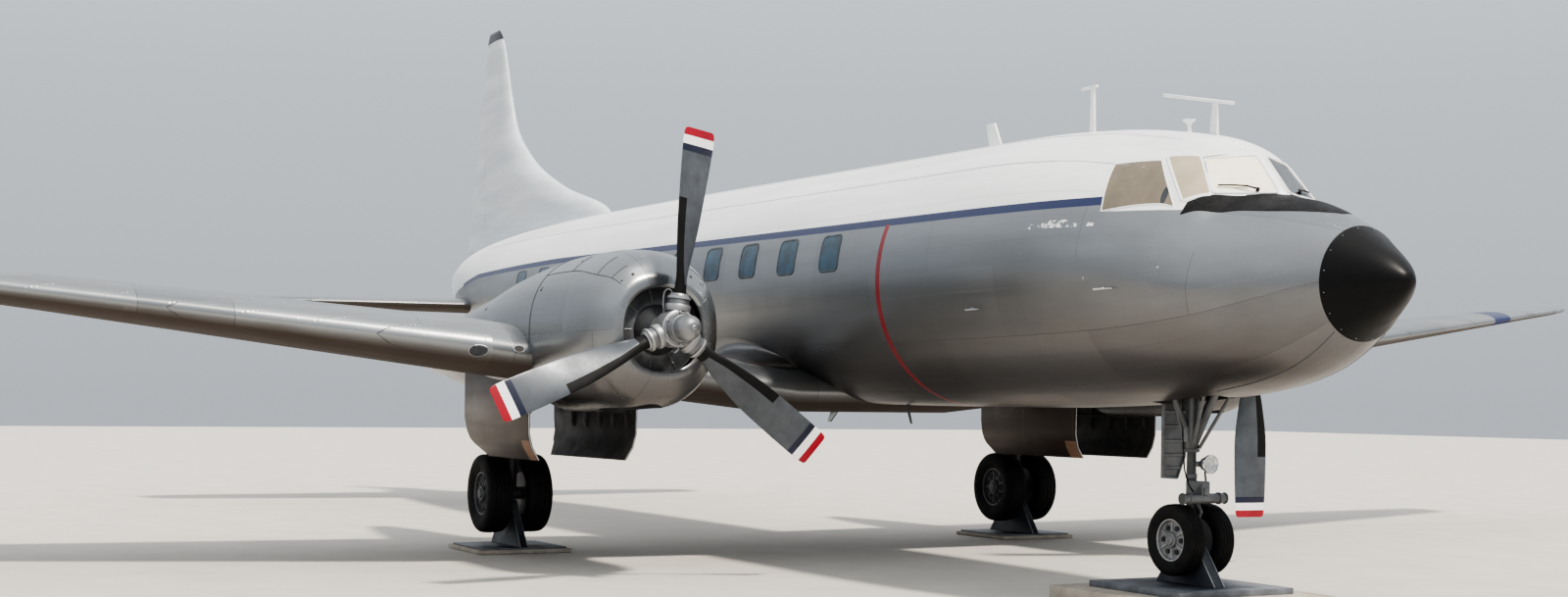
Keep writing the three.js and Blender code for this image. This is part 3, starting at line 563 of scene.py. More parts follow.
# the engine behind its baffle: dark enamelled case, greyer cooling fins
engineDark = coated("enamelledCastEngine", ("24262A", "383A3D"), (0.4, 0.6), 0.3, 70.0, wear="6E7072")
finMetal = coated("castAluminiumFins", ("4A4C4E", "66686A"), (0.45, 0.6), 0.7, 90.0)
# machined hub: broken bright highlights on its steps, dull dirt between them
hubMetal = coated("machinedCastHub", ("66686B", "828487"), (0.36, 0.54), 0.88, 50.0, bumpPower=0.35,
                  wear="D0D1D2", soil="6F6E6C")
# pressed sheet behind the propeller, grey with heat and oil
baffleMetal = coated("pressedSteelBaffle", ("343538", "515356"), (0.4, 0.6), 0.45, 42.0, soil="2A2725",
                     wear="7E8082")
# blades: satin grey paint that catches the sky along their faces, matt black boots and glossy banded tips
bladePaint = coated("satinGreyBladePaint", ("43474D", "51565C"), (0.32, 0.45), 0.3, 50.0)
bootRubber = coated("mouldedRubberBoot", ("0A0A0B", "121213"), (0.5, 0.66), grain=120.0, mirror=0.2)
tipRed = coated("redGlossPaint", ("86081C", "970D24"), (0.25, 0.38))
tipWhite = coated("whiteTipPaint", ("E8E9E9", "F4F4F4"), (0.25, 0.38))
tipNavy = coated("navyGlossPaint", ("0D1127", "141932"), (0.28, 0.4))
# legs: grey enamel, rubbed pale on its corners; the engines' rods and the lamp's bowl are bright
gearPaint = coated("greyEnamelOnForgedSteel", ("323538", "424548"), (0.36, 0.52), 0.2, 55.0, wear="7C7E80",
                   soil="57544F")
brightRod = coated("groundChromeRod", ("B9BBBD", "CFD0D2"), (0.12, 0.22), 1.0)
# tyres: weathered rubber, nearly black and dull, dusty in its grain
tyreRubber = coated("weatheredTyreRubber", ("080808", "101010"), (0.66, 0.84), grain=80.0, bumpSize=0.001,
                    soil="262524", mirror=0.25)
# wheels: silver paint on the nose wheels, and a darker, rougher copy on the main wheels
wheelPaint = coated("silverPaintOnCastWheel", ("6C6E70", "8A8C8E"), (0.38, 0.55), 0.5, soil="4A4744",
                    wear="B5B6B7")
darkWheelPaint = coated("darkerPaintOnCastMainWheel", ("45474A", "5C5F62"), (0.42, 0.6), 0.3, soil="4A4744",
                        wear="7A7B7D")
# stands: slate paint on welded plate, chipped pale on the edges
standPaint = coated("slatePaintOnWeldedPlate", ("1B2028", "29303A"), (0.45, 0.62), grain=50.0, wear="8C9096",
                    soil="3C3B39")
# doors: dark primer on the ribbed inside of the main ones, plain grey enamel on the nose one
doorInside = coated("primedRibbedDoor", ("2B2C2E", "3C3D3F"), (0.5, 0.68), 0.2, 50.0, soil="4A423A")
doorGrey = coated("greyEnamelOnPressedDoor", ("33363A", "44474A"), (0.4, 0.58), 0.2, 50.0, wear="8B8D8F",
                  soil="4F4B46")
# joints of sheets: a dull dark line on bare metal, a soft grey one under paint
seamShade = coated("openPanelJoint", ("2A2B2D", "3A3B3D"), (0.6, 0.75))
paintedSeam = coated("sealedPaintedLap", ("A9ADB1", "BCC0C3"), (0.4, 0.5))
# bright metal for probes, ports and leads, and a thin bright line along some edges
edgeMetal = coated("brightEdgeMetal", ("A5A8AA", "C4C6C8"), (0.3, 0.45), 0.8)
# lamps: moulded red and green lenses, and clear pressed glass, all wet-looking
lens = {"rough": (0.08, 0.16), "grain": 20.0, "coat": 0.8}
lampRed = coated("redMouldedLens", ("8E0F16", "A8151D"), **lens)
lampGreen = coated("greenMouldedLens", ("0F6B3A", "17804A"), **lens)
lampGlass = coated("pressedLampGlass", ("DADDDD", "F2F3F2"), (0.06, 0.14), grain=30.0, coat=0.8)
# treads: ribbed rubber, dull dark grey
treadRubber = coated("ribbedRubberTread", ("222225", "303033"), (0.6, 0.75), grain=90.0)


def concreteMaterial():
    # cast concrete pad: pale, pitted, with coarse aggregate
    material, tree, shader, place = startMaterial("castConcretePad")
    broad = noise(tree, 3.0, 8.0, 0.7, place)
    stones = addNode(tree, "ShaderNodeTexVoronoi", {"feature": "F1"}, {"Vector": place, "Scale": 55.0})
    stones = bump(tree, 0.5, 0.004, stones.outputs["Distance"])
    setInputs(tree, shader, {
        "Base Color": ramp(tree, broad, (0.3, "8B8378"), (0.55, "A9A195"), (0.75, "BAB3A8")),
        "Roughness": rescale(tree, broad, 0.3, 0.7, 0.95, 0.75),
        "Normal": bump(tree, 0.5, 0.008, broad, stones)})
    return material


concrete = concreteMaterial()
print("materials ready")


# fuselage: sections along the hull, [x, top, widest z, bottom, half width, pinch of the upper half]

hull = {
    "rows": [[11872, 3443, 2951, 2459, 492, 0], [11620, 3572, 2935, 2300, 622, .01],
             [11300, 3700, 2930, 2165, 790, .03], [10820, 3830, 2950, 2050, 1010, .1],
             [10590, 4095, 2980, 2015, 1085, .12], [10330, 4330, 3030, 1985, 1165, .08],
             [9700, 4490, 3140, 1935, 1300, .02], [8800, 4620, 3250, 1890, 1390, 0],
             [7700, 4695, 3280, 1866, 1424, 0], [6200, 4722, 3294, 1866, 1428, 0],
             [-2300, 4866, 3438, 2010, 1428, 0], [-4800, 4890, 3520, 2170, 1395, 0],
             [-7300, 4865, 3700, 2560, 1215, 0], [-9800, 4760, 3900, 3060, 880, 0],
             [-11600, 4560, 4060, 3560, 430, 0], [-12250, 4400, 4150, 3890, 200, 0],
             [-12413, 4250, 4178, 4100, 70, 0]],
    "sides": 128, "noseBay": (9380, 10300, -230, 230, 1500, 2650),
    "doorway": (7342, 8258, 700, 1600, 2544, 4354),
    "screen": [(10556, -8, 4218), (10940, -8, 3778), (10634, 640, 3772), (10366, 490, 4142)],
    "noseSkin": (8800.6, 11872, 96), "cabinSkin": (-2300, 8800.2, 30), "rearCabinSkin": (-8000, -2300.4, 24),
    "tailEndSkin": (-12413, -8000.4, 34), "screenAhead": (300, 120, 180)}
hullCurves = tableCurves(hull["rows"])


def hullPoint(x, angle, out=0.0):
    top, wide, bottom, half, pinch = readAll(hullCurves, x)
    c, s = math.cos(angle), math.sin(angle)
    rise = top - wide if s > 0 else wide - bottom
    y = half * c * (1 - pinch * s if s > 0 else 1)
    z = wide + rise * s
    n = math.hypot(c / half, s / rise)
    return (x, y + out * c / half / n, z + out * s / rise / n)


def hullAngle(x, z, side):
    top, wide, bottom = readAll(hullCurves, x)[:3]
    s = (z - wide) / (top - wide if z > wide else wide - bottom)
    a = math.asin(max(-1.0, min(1.0, s)))
    return a if side > 0 else math.pi - a


def hullAngleOfY(x, y):
    # the angle on the upper half where the hull is y wide
    half, pinch = readAll(hullCurves, x)[3:]
    s = 1.0
    for _ in range(6):
        c = max(-1.0, min(1.0, y / (half * (1 - pinch * s))))
        s = math.sqrt(1 - c * c)
    return math.atan2(s, c)


def hullSection(name, stands, slotName="white_paint"):
    rows = [[hullPoint(x, a) for a in circle(hull["sides"])] for x in spread(*hull[name])]
    return addPiece(name, [loftRows(rows)], hullSkin, slotName, stands=stands)


# room for the flat front panes
screenRoom = []
ahead, outwards, up = hull["screenAhead"]
for side in (-1, 1):
    rows = [[(x + far * ahead, (y + far * outwards) * side, z + far * up) for x, y, z in hull["screen"]]
            for far in (0, 1)]
    screenRoom.append(loftRows(rows))
noseSkin = hullSection("noseSkin", ["nose_section"])
# the nose bay's cut faces are dark: painted shade
carve(noseSkin, [block(*hull["noseBay"])], darkHole)
carve(noseSkin, screenRoom, whitePaint)
cabinSkin = hullSection("cabinSkin", ["cabin", "entry_section"])
# the doorway's cut faces are dark: painted shade
carve(cabinSkin, [block(*hull["doorway"])], darkHole)
hullSection("rearCabinSkin", ["rear_cabin"])
hullSection("tailEndSkin", ["tail_end"], "bare_metal")
print("fuselage done")


# plates that lie on a curved surface: outlines in a flat plane, and a function that places them at a height

def roundedOutline(corners, radius, steps=6, pitch=50):
    # the corners rounded with arcs, with points along each edge
    arcs = []
    count = len(corners)
    for i in range(count):
        p, a, b = Vector(corners[i]), Vector(corners[i - 1]), Vector(corners[(i + 1) % count])
        start, end = p + (a - p).normalized() * radius, p + (b - p).normalized() * radius
        arcs.append([start * (1 - t) ** 2 + p * 2 * t * (1 - t) + end * t * t
                     for t in spread(0, 1, steps + 1)])
    outline = []
    for i, arc in enumerate(arcs):
        start, end = arc[-1], arcs[(i + 1) % count][0]
        parts = max(1, int((end - start).length // pitch))
        outline += [tuple(q) for q in arc] + [tuple(start.lerp(end, k / parts)) for k in range(1, parts)]
    return outline


def insetOutline(outline, by):
    count = len(outline)
    area = 0
    for (x, y), (nextX, nextY) in zip(outline, outline[1:] + outline[:1]):
        area += x * nextY - nextX * y
    by = by if area > 0 else -by
    moved = []
    for i in range(count):
        along = (Vector(outline[(i + 1) % count]) - Vector(outline[i - 1])).normalized()
        moved.append((outline[i][0] - along.y * by, outline[i][1] + along.x * by))
    return moved


def ringOn(corners, radius, width, proud, place, start=0):
    # a raised frame whose section begins at start inside the outline
    outline = roundedOutline(corners, radius)
    profile = [(start, -4), (start, proud * 0.6), (start + width * 0.2, proud), (start + width * 0.8, proud),
               (start + width, proud * 0.5), (start + width, -4)]
    rows = [[place(p, height) for p in insetOutline(outline, inset)] for inset, height in profile]
    points, faces = loftRows(rows, "open")
    count, last = len(outline), (len(rows) - 1) * len(outline)
    faces += [(last + j, last + (j + 1) % count, (j + 1) % count, j) for j in range(count)]
    return points, faces


def paneOn(corners, radius, inset, height, place, rings=4):
    # a closed thin pane, its face laid in rings so that it follows the curve
    outline = insetOutline(roundedOutline(corners, radius), inset)
    count = len(outline)
    middle = (sum(p[0] for p in outline) / count, sum(p[1] for p in outline) / count)
    rows = [[place(p, -6) for p in outline]]
    for k in range(rings):
        t = 1 - k / rings
        rows.append([place((middle[0] + (p[0] - middle[0]) * t, middle[1] + (p[1] - middle[1]) * t), height)
                     for p in outline])
    points, faces = loftRows(rows, "firstCapped")
    points.append(place(middle, height))
    base = rings * count
    faces += [(base + j, base + (j + 1) % count, len(points) - 1) for j in range(count)]
    return points, faces


# drop is from the navy line's lower edge to the windows' middle
cabinWindow = {
    "places": [5110, 4080, 3060, 2050, 1015, -20, -1050, -2080, -3110, -4140, -5170], "extraLeft": 6140,
    "width": 440, "height": 430, "drop": 255, "lineHalf": 34, "corner": 95,
    "frame": (22, 7), "pane": (20, 2.5)}
frames, panes = [], []
for side in (-1, 1):
    def onSide(p, height, side=side):
        return hullPoint(p[0], hullAngle(p[0], p[1], side), height)
    for x in cabinWindow["places"] + ([cabinWindow["extraLeft"]] if side > 0 else []):
        line = min(paintLine["height"] + paintLine["slope"] * x, paintLine["top"])
        middle = line - cabinWindow["lineHalf"] - cabinWindow["drop"]
        w, h = cabinWindow["width"] / 2, cabinWindow["height"] / 2
        corners = [(x - w, middle - h), (x + w, middle - h), (x + w, middle + h), (x - w, middle + h)]
        frames.append(ringOn(corners, cabinWindow["corner"], *cabinWindow["frame"], onSide))
        panes.append(paneOn(corners, cabinWindow["corner"], *cabinWindow["pane"], onSide))
addPiece("cabinWindowFrames", frames, windowSeal, "bare_metal")
addPiece("cabinWindowPanes", panes, windowPane, "cockpit_screen")
print("cabin windows done")


# cockpit: V windscreen, corner and side panes behind white frames; girth makes a way round out of an angle

cockpit = {
    "front": [(10566, 14, 4222), (10381, 479, 4150), (10648, 629, 3777), (10944, 14, 3786)],
    "sidePane": [(9626, 889, 4123), (10085, 728, 4101), (10466, 897, 3642), (9787, 1155, 3666)],
    "cornerPane": [(10118, 675, 4131), (10371, 541, 4117), (10638, 658, 3758), (10503, 831, 3698)],
    "hood": [(10566, 0, 4228), (10954, 0, 3786), (10381, 479, 4146), (10648, 629, 3777), (10280, 0, 4338),
             (10190, 430, 4255), (10300, 520, 3650), (10300, 0, 3650)],
    "vent": {"at": (10350, 912, 3765), "half": 27, "long": 84, "lean": 13},
    "ventRings": ((1, -4), (1, 4.5), (0.7, 5.5), (0.35, 6), (0.05, 6)), "girth": 1150,
    "wiper": (([(0.36, 0.93, 14), (0.36, 0.93, 46)], 16),
              ([(0.36, 0.93, 42), (0.5, 0.87, 46), (0.66, 0.82, 36)], [9, 7, 5]),
              ([(0.46, 0.835, 28), (0.66, 0.815, 30), (0.88, 0.80, 26)], 7))}


def roundHull(x, y, z):
    # a point on the upper half as (x, way round)
    top, wide, _, half = readAll(hullCurves, x)[:4]
    return x, math.atan2((z - wide) / (top - wide), y / half) * cockpit["girth"]


def onHull(p, height):
    return hullPoint(p[0], p[1] / cockpit["girth"], height)


def frontPane(side):
    # placing function for (across, down) on the flat front pane, with the pane's width and height
    a, b, c, d = (Vector((p[0], p[1] * side, p[2])) for p in cockpit["front"])
    across = ((b - a) + (c - d)) / 2
    down = ((d - a) + (c - b)) / 2
    normal = across.cross(down).normalized()
    if normal.x < 0:
        normal.negate()
    w, h = across.length, down.length

    def place(p, height):
        u, v = p[0] / w, p[1] / h
        q = a * (1 - u) * (1 - v) + b * u * (1 - v) + c * u * v + d * (1 - u) * v
        return tuple(q + normal * height)
    return place, w, h


screenFrames, ventHoles, wipers = [], [], []
blinds = {"front": [], "shadedFarFront": [], "cornerPane": [], "sidePane": []}
for side in (-1, 1):
    place, w, h = frontPane(side)
    edges = [(52, 62), (w - 24, 40), (w - 24, h - 28), (48, h - 30)]
    screenFrames.append(ringOn(edges, 46, 22, 12, lambda p, q, place=place: place(p, q + 4), -20))
    blinds["front" if side < 0 else "shadedFarFront"].append(paneOn(edges, 46, 0, 8, place))
    for name, corner, frameShape in (("cornerPane", 14, (24, 9, onHull, -22)),
                                     ("sidePane", 16, (12, 6, onHull, -10))):
        flat = [roundHull(p[0], p[1] * side, p[2]) for p in cockpit[name]]
        screenFrames.append(ringOn(flat, corner, *frameShape))
        blinds[name].append(paneOn(flat, corner, 0, 3, onHull, 6))
    # the small lens-shaped air opening in the lower front corner of the side pane
    vent = cockpit["vent"]
    x, middle = roundHull(vent["at"][0], vent["at"][1] * side, vent["at"][2])
    rows = []
    for size, height in cockpit["ventRings"]:
        rows.append([onHull((x + size * (vent["half"] * math.sin(t) - vent["lean"] * side * math.cos(t)),
                             middle + size * vent["long"] * math.cos(t)), height) for t in circle(32)])
    ventHoles.append(loftRows(rows))
    # wiper parked across the foot of the front pane: post, arm and blade in shares of its width and height
    for route, radius in cockpit["wiper"]:
        wipers.append(rod([place((w * u, h * v), height) for u, v, height in route], radius))
shell = bmesh.new()
for side in (-1, 1):
    for p in cockpit["hood"]:
        if p[1] or side > 0:
            shell.verts.new((p[0] * 0.001, p[1] * 0.001 * side, p[2] * 0.001))
bmesh.ops.convex_hull(shell, input=shell.verts)
bmesh.ops.delete(shell, geom=[v for v in shell.verts if not v.link_faces], context="VERTS")
hoodMesh = bpy.data.meshes.new("windscreenHood")
shell.to_mesh(hoodMesh)
shell.free()
windscreenHood = bpy.data.objects.new("windscreenHood", hoodMesh)
collection.objects.link(windscreenHood)
hoodMesh.materials.append(whitePaint)
soften(windscreenHood, 14, 3, 12, 24)
settle(windscreenHood, "airframe", ["cockpit_glazing"], "white_paint")
addPiece("cockpitFrames", screenFrames, whitePaint, "white_paint")
addPiece("cockpitBlinds", blinds["front"], blindPaint, "cockpit_screen")
addPiece("cockpitCornerBlinds", blinds["cornerPane"], paintedShadeBlind, "cockpit_screen")
addPiece("cockpitSideBlinds", blinds["sidePane"], paintedDeepShadeBlind, "cockpit_screen")
# the far front pane has a blind like the near one; a dark grey pane stands for it, painted shade
addPiece("cockpitLeftPane", blinds["shadedFarFront"], smokedPane, "cockpit_screen")
addPiece("cockpitAirVents", ventHoles, smokedPane, "black_paint")
addPiece("windscreenWipers", wipers, bootRubber, "black_paint")

# black anti-glare panel on top of the nose, a thin coat of paint with a crisp edge; edges are [x, y]
glare = {
    "outer": [[10540, 880], [10709, 715], [10932, 540], [11236, 425], [11471, 262], [11600, 110],
              [11640, 20]],
    "inner": [[10540, 800], [10574, 750], [10658, 615], [10798, 372], [10954, 0], [10990, 0]],
    "reach": (10545, 11638), "thick": 14, "proud": 4}


def plateGrid(rows, deep):
    # closed thin plate from a grid of points: same grid again below, and a rim
    n, m = len(rows), len(rows[0])
    points, faces = loftRows(rows, "open", closed=False)
    under = n * m
    points += [(p[0], p[1], p[2] - deep) for p in points]
    faces += [tuple(i + under for i in reversed(face)) for face in faces]
    rim = list(range(m)) + [i * m + m - 1 for i in range(1, n)]
    rim += [(n - 1) * m + j for j in range(m - 2, -1, -1)] + [i * m for i in range(n - 2, 0, -1)]
    faces += [(p, q, under + q, under + p) for p, q in zip(rim, rim[1:] + rim[:1])]
    return points, faces


inner, outer = curveThrough(glare["inner"]), curveThrough(glare["outer"])
plates = []
for side in (-1, 1):
    rows = [[hullPoint(x, hullAngleOfY(x, y * side), glare["proud"]) for y in spread(inner(x), outer(x), 22)]
            for x in spread(*glare["reach"], 60)]
    plates.append(plateGrid(rows, glare["thick"]))
addPiece("antiGlarePanel", plates, glarePaint, "black_paint")
print("cockpit done")


# radome: one moulding on the nose ring, [distance ahead of the ring, radius]

radome = {
    "foot": (11872.6, 0, 2951), "latches": 16, "latchRing": 474, "latchX": 11900,
    "latch": [[-2, 5], [4, 5], [5, 3], [5.5, 0.5]], "lip": [[0, 480], [0.2, 487], [3, 491]],
    "rows": [[0, 492], [60, 449], [143, 390], [228, 331], [314, 269], [399, 202], [462, 142], [505, 92],
             [531, 48], [541, 0.5]],
    "places": [8, 16, 30, 45, 60, 80, 100, 120, 143, 165, 190, 228, 260, 290, 314, 340, 370, 399, 420, 440,
               462, 480, 495, 505, 515, 523, 531, 536, 539.5, 541]}
radomeCurve = curveThrough(radome["rows"])
profile = radome["lip"] + [[a, radomeCurve(a)] for a in radome["places"]]
addPiece("radomeShell", [turned(profile, radome["foot"], "x", 96)], radomePaint, "black_paint",
         stands=["radome"], sharp=50)
latches = []
for a in circle(radome["latches"], 0.5):
    y, z = math.cos(a) * radome["latchRing"], radome["foot"][2] + math.sin(a) * radome["latchRing"]
    latches.append(turned(radome["latch"], (radome["latchX"], y, z), "x", 10))
addPiece("radomeLatches", latches, frameMetal, "bare_metal")


# wing root fairing: [x, height above the wing's skin where it leaves the hull] and [x, how far out it runs]

fairing = {
    "rise": [[660, 250], [1100, 330], [1854, 315], [2362, 275], [2805, 205], [3187, 115], [3450, 55],
             [3640, 16]],
    "out": [[660, 1440], [1300, 1500], [1620, 1590], [2200, 1820], [3200, 1860], [3640, 1700]],
    "stations": (660, 3640, 44), "along": 14, "proud": 1.5, "above": 3600}
rise, reach = curveThrough(fairing["rise"]), curveThrough(fairing["out"])
wingSurface = surfaceOf("wing_centre")
fairings = []
for side in (-1, 1):
    rows = []
    for x in spread(*fairing["stations"]):
        foot = layOn(wingSurface, (x, reach(x) * side, fairing["above"]), (0, 0, -1))[0]
        angle = hullAngle(x, foot.z + rise(x), side)
        top = Vector(hullPoint(x, angle, fairing["proud"]))
        below = Vector(hullPoint(x, angle - 0.02 * side, fairing["proud"]))
        knee = Vector((x, top.y + (top.y - below.y) * (top.z - foot.z) / (below.z - top.z), foot.z + 2))
        start = Vector((x, foot.y, foot.z + fairing["proud"]))
        row = [tuple(start * (1 - t) ** 2 + knee * 2 * t * (1 - t) + top * t * t)
               for t in spread(0, 1, fairing["along"])]
        rows.append(row + [(x, top.y - 30 * side, top.z), (x, knee.y - 90 * side, knee.z - 50),
                           (x, foot.y, foot.z - 20)])
    fairings.append(loftRows(rows))
addPiece("wingRootFairings", fairings, hullSkin, "bare_metal", sharp=40)

# laps, probes and ports laid on the hull: places are (x, z), seams (angle, radius), probe (shift, height)
trim = {"roofSeams": ((math.radians(47), 3.5), (math.radians(47) + 0.42, 3)), "roofReach": (-8600, 9980),
        "noseSeamY": 289, "noseReach": (10420, 11850), "probes": ((9974, 2955), (8005, 2844)),
        "probe": ((-40, -4), (-40, 42), (-106, 46), (106, 40)), "ports": ((10503, 3119), (9700, 3060)),
        "funnelFoot": (9598, 0, 4500), "funnel": [[-14, 36], [4, 32], [14, 20], [60, 19], [96, 34], [116, 58],
                                                  [122, 62], [127, 60], [128, 0.5]]}
seams, noseSeams, probes, ports = [], [], [], []
for side in (-1, 1):
    for angle, radius in trim["roofSeams"]:
        turn = angle if side > 0 else math.pi - angle
        seams.append(rod([hullPoint(x, turn, 0.5) for x in spread(*trim["roofReach"], 90)], radius, 8))
    noseSeams.append(rod([hullPoint(x, -hullAngleOfY(x, trim["noseSeamY"] * side), 0.5)
                          for x in spread(*trim["noseReach"], 30)], 3.5, 8))
    for x, z in trim["probes"]:
        foot, knee, back, tip = [hullPoint(x + shift, hullAngle(x + shift, z, side), far)
                                 for shift, far in trim["probe"]]
        probes += [rod([foot, knee], [15, 9]), rod([back, knee, tip], [10, 10, 5])]
    for x, z in trim["ports"]:
        angle = hullAngle(x, z, side)
        ports.append(rod([hullPoint(x, angle, -4), hullPoint(x, angle, 3)], 14, 18))
addPiece("roofLapSeams", seams, paintedSeam, "white_paint")
addPiece("noseLapSeams", noseSeams, windowSeal, "bare_metal")
addPiece("airProbes", probes, edgeMetal, "bare_metal")
addPiece("staticPorts", ports, edgeMetal, "bare_metal")
funnel = turned(trim["funnel"], trim["funnelFoot"], "z", 32)
addPiece("aerialFunnel", [funnel], whitePaint, "white_paint")


# nacelles and cowls: [x, top, widest z, bottom, half width]

pod = {
    "rows": [[5650, 3490, 2623, 1775, 765], [4460, 3490, 2615, 1760, 760], [3980, 3470, 2610, 1755, 755],
             [2700, 3350, 2560, 1770, 715], [1700, 3190, 2520, 1850, 650], [300, 3010, 2480, 2020, 520],
             [-1100, 2800, 2440, 2190, 330], [-1900, 2600, 2430, 2290, 170]],
    "cowl": [[5950, 3080, 2623, 2166, 455], [5945, 3150, 2623, 2100, 525], [5880, 3250, 2623, 2010, 610],
             [5760, 3370, 2623, 1900, 690], [5500, 3465, 2623, 1800, 745], [5100, 3495, 2623, 1770, 765],
             [4460.6, 3490, 2615, 1760, 760]],
    "cowlInside": [[5935, 3058, 2623, 2188, 437], [5900, 3060, 2623, 2186, 440],
                   [5700, 3170, 2623, 2080, 545], [5300, 3380, 2623, 1880, 690],
                   [4470, 3400, 2610, 1850, 690]],
    "square": 0.86, "sides": 88, "bay": (1180, 3720, 560, 1000, 2330), "outlet": (5080, 590, 275, 1700, 1862),
    "shoulder": [[4000, 46], [4830, 44.4], [5567, 39.5], [5880, 44.0]],
    "cuffs": ((4840, 66), (5560, 64), (5790, 62)), "shoulderReach": (4000, 5880, 50), "lowSeam": -34,
    "lowReach": (4000, 5840, 50), "lapX": 4003, "lap": (-62, 90, 60), "front": 4459.9,
    "body": (4440, -1900, 48),
    "drains": ((2013, 34, 24), (4131, 30, 17), (4150, 32, 10), (4774, 58, 12), (5880, 61, 17),
               (5870, 47, 10), (3300, -20, 14))}
podCurves = tableCurves(pod["rows"])
shoulder = curveThrough(pod["shoulder"])


def podAt(row, angle):
    # y from the middle and z on a section, which is a little squarer than an ellipse
    top, wide, bottom, half = row
    c, s = math.cos(angle), math.sin(angle)
    rise = top - wide if s > 0 else wide - bottom
    square = pod["square"]
    return half * math.copysign(abs(c) ** square, c), wide + rise * math.copysign(abs(s) ** square, s)


def podRow(row, middleY):
    ring = [podAt(row[1:], a) for a in circle(pod["sides"])]
    return [(row[0], middleY + y, z) for y, z in ring]


def throughRows(table, steps):
    # extra rows between the given ones, evenly along the profile's length
    lengths = [0.0]
    for a, b in zip(table, table[1:]):
        lengths.append(lengths[-1] + math.dist(a, b))
    curves = tableCurves([[length] + row for length, row in zip(lengths, table)])
    return [readAll(curves, t) for t in spread(0, lengths[-1], steps)]


outer = throughRows(pod["cowl"], 40)
inner = throughRows(pod["cowlInside"], 16)
engine = {
    "core": [[0, 560], [300, 560], [700, 610], [760, 560], [772, 430], [780, 330], [900, 322], [960, 300],
             [1060, 250], [1080, 240], [1110, 262], [1140, 262], [1150, 205], [1240, 150], [1300, 138],
             [1450, 132], [1496.9, 130]],
    "baffle": [[0, 262], [16, 258], [22, 268], [6, 330], [-14, 470], [-20, 496], [-34, 500], [-34, 480],
               [-22, 400], [-14, 268]],
    "collar": [[-10, 262], [18, 262], [60, 254], [110, 226], [160, 184], [196, 158], [214, 150], [216, 132],
               [190, 130], [-10, 130]],
    "lead": [(5900, -60, 2730), (5960, -32, 2770), (5990, -24, 2809), (5992, -34, 2870), (5990, -32, 2940),
             (5985, -21, 3004), (5980, 8, 3037), (5972, 44, 3040), (5955, 80, 3018), (5920, 104, 2972),
             (5860, 116, 2920), (5770, 122, 2890)],
    "gland": [(5880, -70, 2712), (5912, -56, 2738)],
    "drainPipe": [(5985, 70, 2400), (6040, 84, 2386), (6052, 110, 2412), (6030, 128, 2440),
                  (5975, 120, 2450)],
    "stud": [[-2, 15], [8, 15], [12, 9], [13, 0.5]], "rib": ((5752, 285), (5742, 350), (5732, 470)),
    "rearX": 4460.6, "baffleX": 5742, "studX": 5738, "studRing": 392, "cylinders": 9, "cylinderX": 5345,
    "fins": (190, 560, 15), "head": [[572, 66], [590, 58]], "rodShift": 46,
    "rod": ((5440, 225, 0.5), (5425, 400, 1), (5415, 560, 1)),
    "pipes": (("lead", 7, 10), ("gland", 14, 12), ("drainPipe", 8, 10))}


def cylinderProfile():
    # [way out from the shaft, radius] with cooling fins, then the rounded head
    profile = []
    for r in range(*engine["fins"]):
        profile += [[r, 64], [r + 2, 80], [r + 7, 80], [r + 9, 64]]
    return profile + engine["head"]


def addNacelle(word, y):
    rows = [podRow([x] + readAll(podCurves, x), y) for x in [pod["front"]] + spread(*pod["body"])]
    nacelle = addPiece(f"nacelleSkin_{word}", [loftRows(rows)], podSkin, "bare_metal",
                       stands=[f"nacelle_{word}"])
    x0, x1, half, z0, z1 = pod["bay"]
    carve(nacelle, [block(x0, x1, y - half, y + half, z0, z1)], doorInside)
    rows = [podRow(row, y) for row in outer[::-1] + inner]
    cowl = addPiece(f"cowlSkin_{word}", [loftRows(rows, "meet")], podSkin, "bare_metal",
                    stands=[f"cowl_{word}"], sharp=40)
    # the crescent-shaped air outlet under the cowl; its cut faces are dark with painted shade
    x, long, half, z0, z1 = pod["outlet"]
    lens = [(x + long * math.cos(t), y + half * math.sin(t)) for t in circle(40)]
    carve(cowl, [loftRows([[(q[0], q[1], z) for q in lens] for z in (z0, z1)])], darkHole, 40)

    def podSpot(x, degrees, hand):
        # a point on the outside of the nacelle or cowl; hand +1 is the left half
        row = readAll(podCurves, x)
        for front, back in zip(outer, outer[1:]):
            if back[0] <= x <= front[0]:
                t = (x - back[0]) / (front[0] - back[0])
                row = [back[k] + (front[k] - back[k]) * t for k in range(1, 5)]
        out, z = podAt(row, math.radians(degrees))
        return Vector((x, y + hand * abs(out), z))

    seams, drains = [], []
    for hand in (-1, 1):
        seams.append(rod([podSpot(x, shoulder(x), hand) for x in spread(*pod["shoulderReach"])], 4.5, 8))
        seams.append(rod([podSpot(x, pod["lowSeam"], hand) for x in spread(*pod["lowReach"])], 3.5, 8))
        for x, degrees in pod["cuffs"]:
            seams.append(rod([podSpot(x, d, hand) for d in spread(shoulder(x), degrees, 14)], 4, 8))
        seams.append(rod([podSpot(pod["lapX"], d, hand) for d in spread(*pod["lap"])], 5, 8))
        for x, degrees, size in pod["drains"]:
            spot = podSpot(x, degrees, hand)
            along, back = podSpot(x, degrees + 2, hand) - spot, podSpot(x - 10, degrees, hand) - spot
            out = along.cross(back).normalized()
            if out.dot(spot - Vector((x, y, shaftZ))) < 0:
                out.negate()
            drains.append(rod([spot - out * 6, spot + out * 2.5], size, 20))
    addPiece(f"nacelleSeams_{word}", seams, seamShade, "bare_metal")
    # the drain holes are dark plugs: painted shade
    addPiece(f"nacelleDrains_{word}", drains, darkHole, "bare_metal")


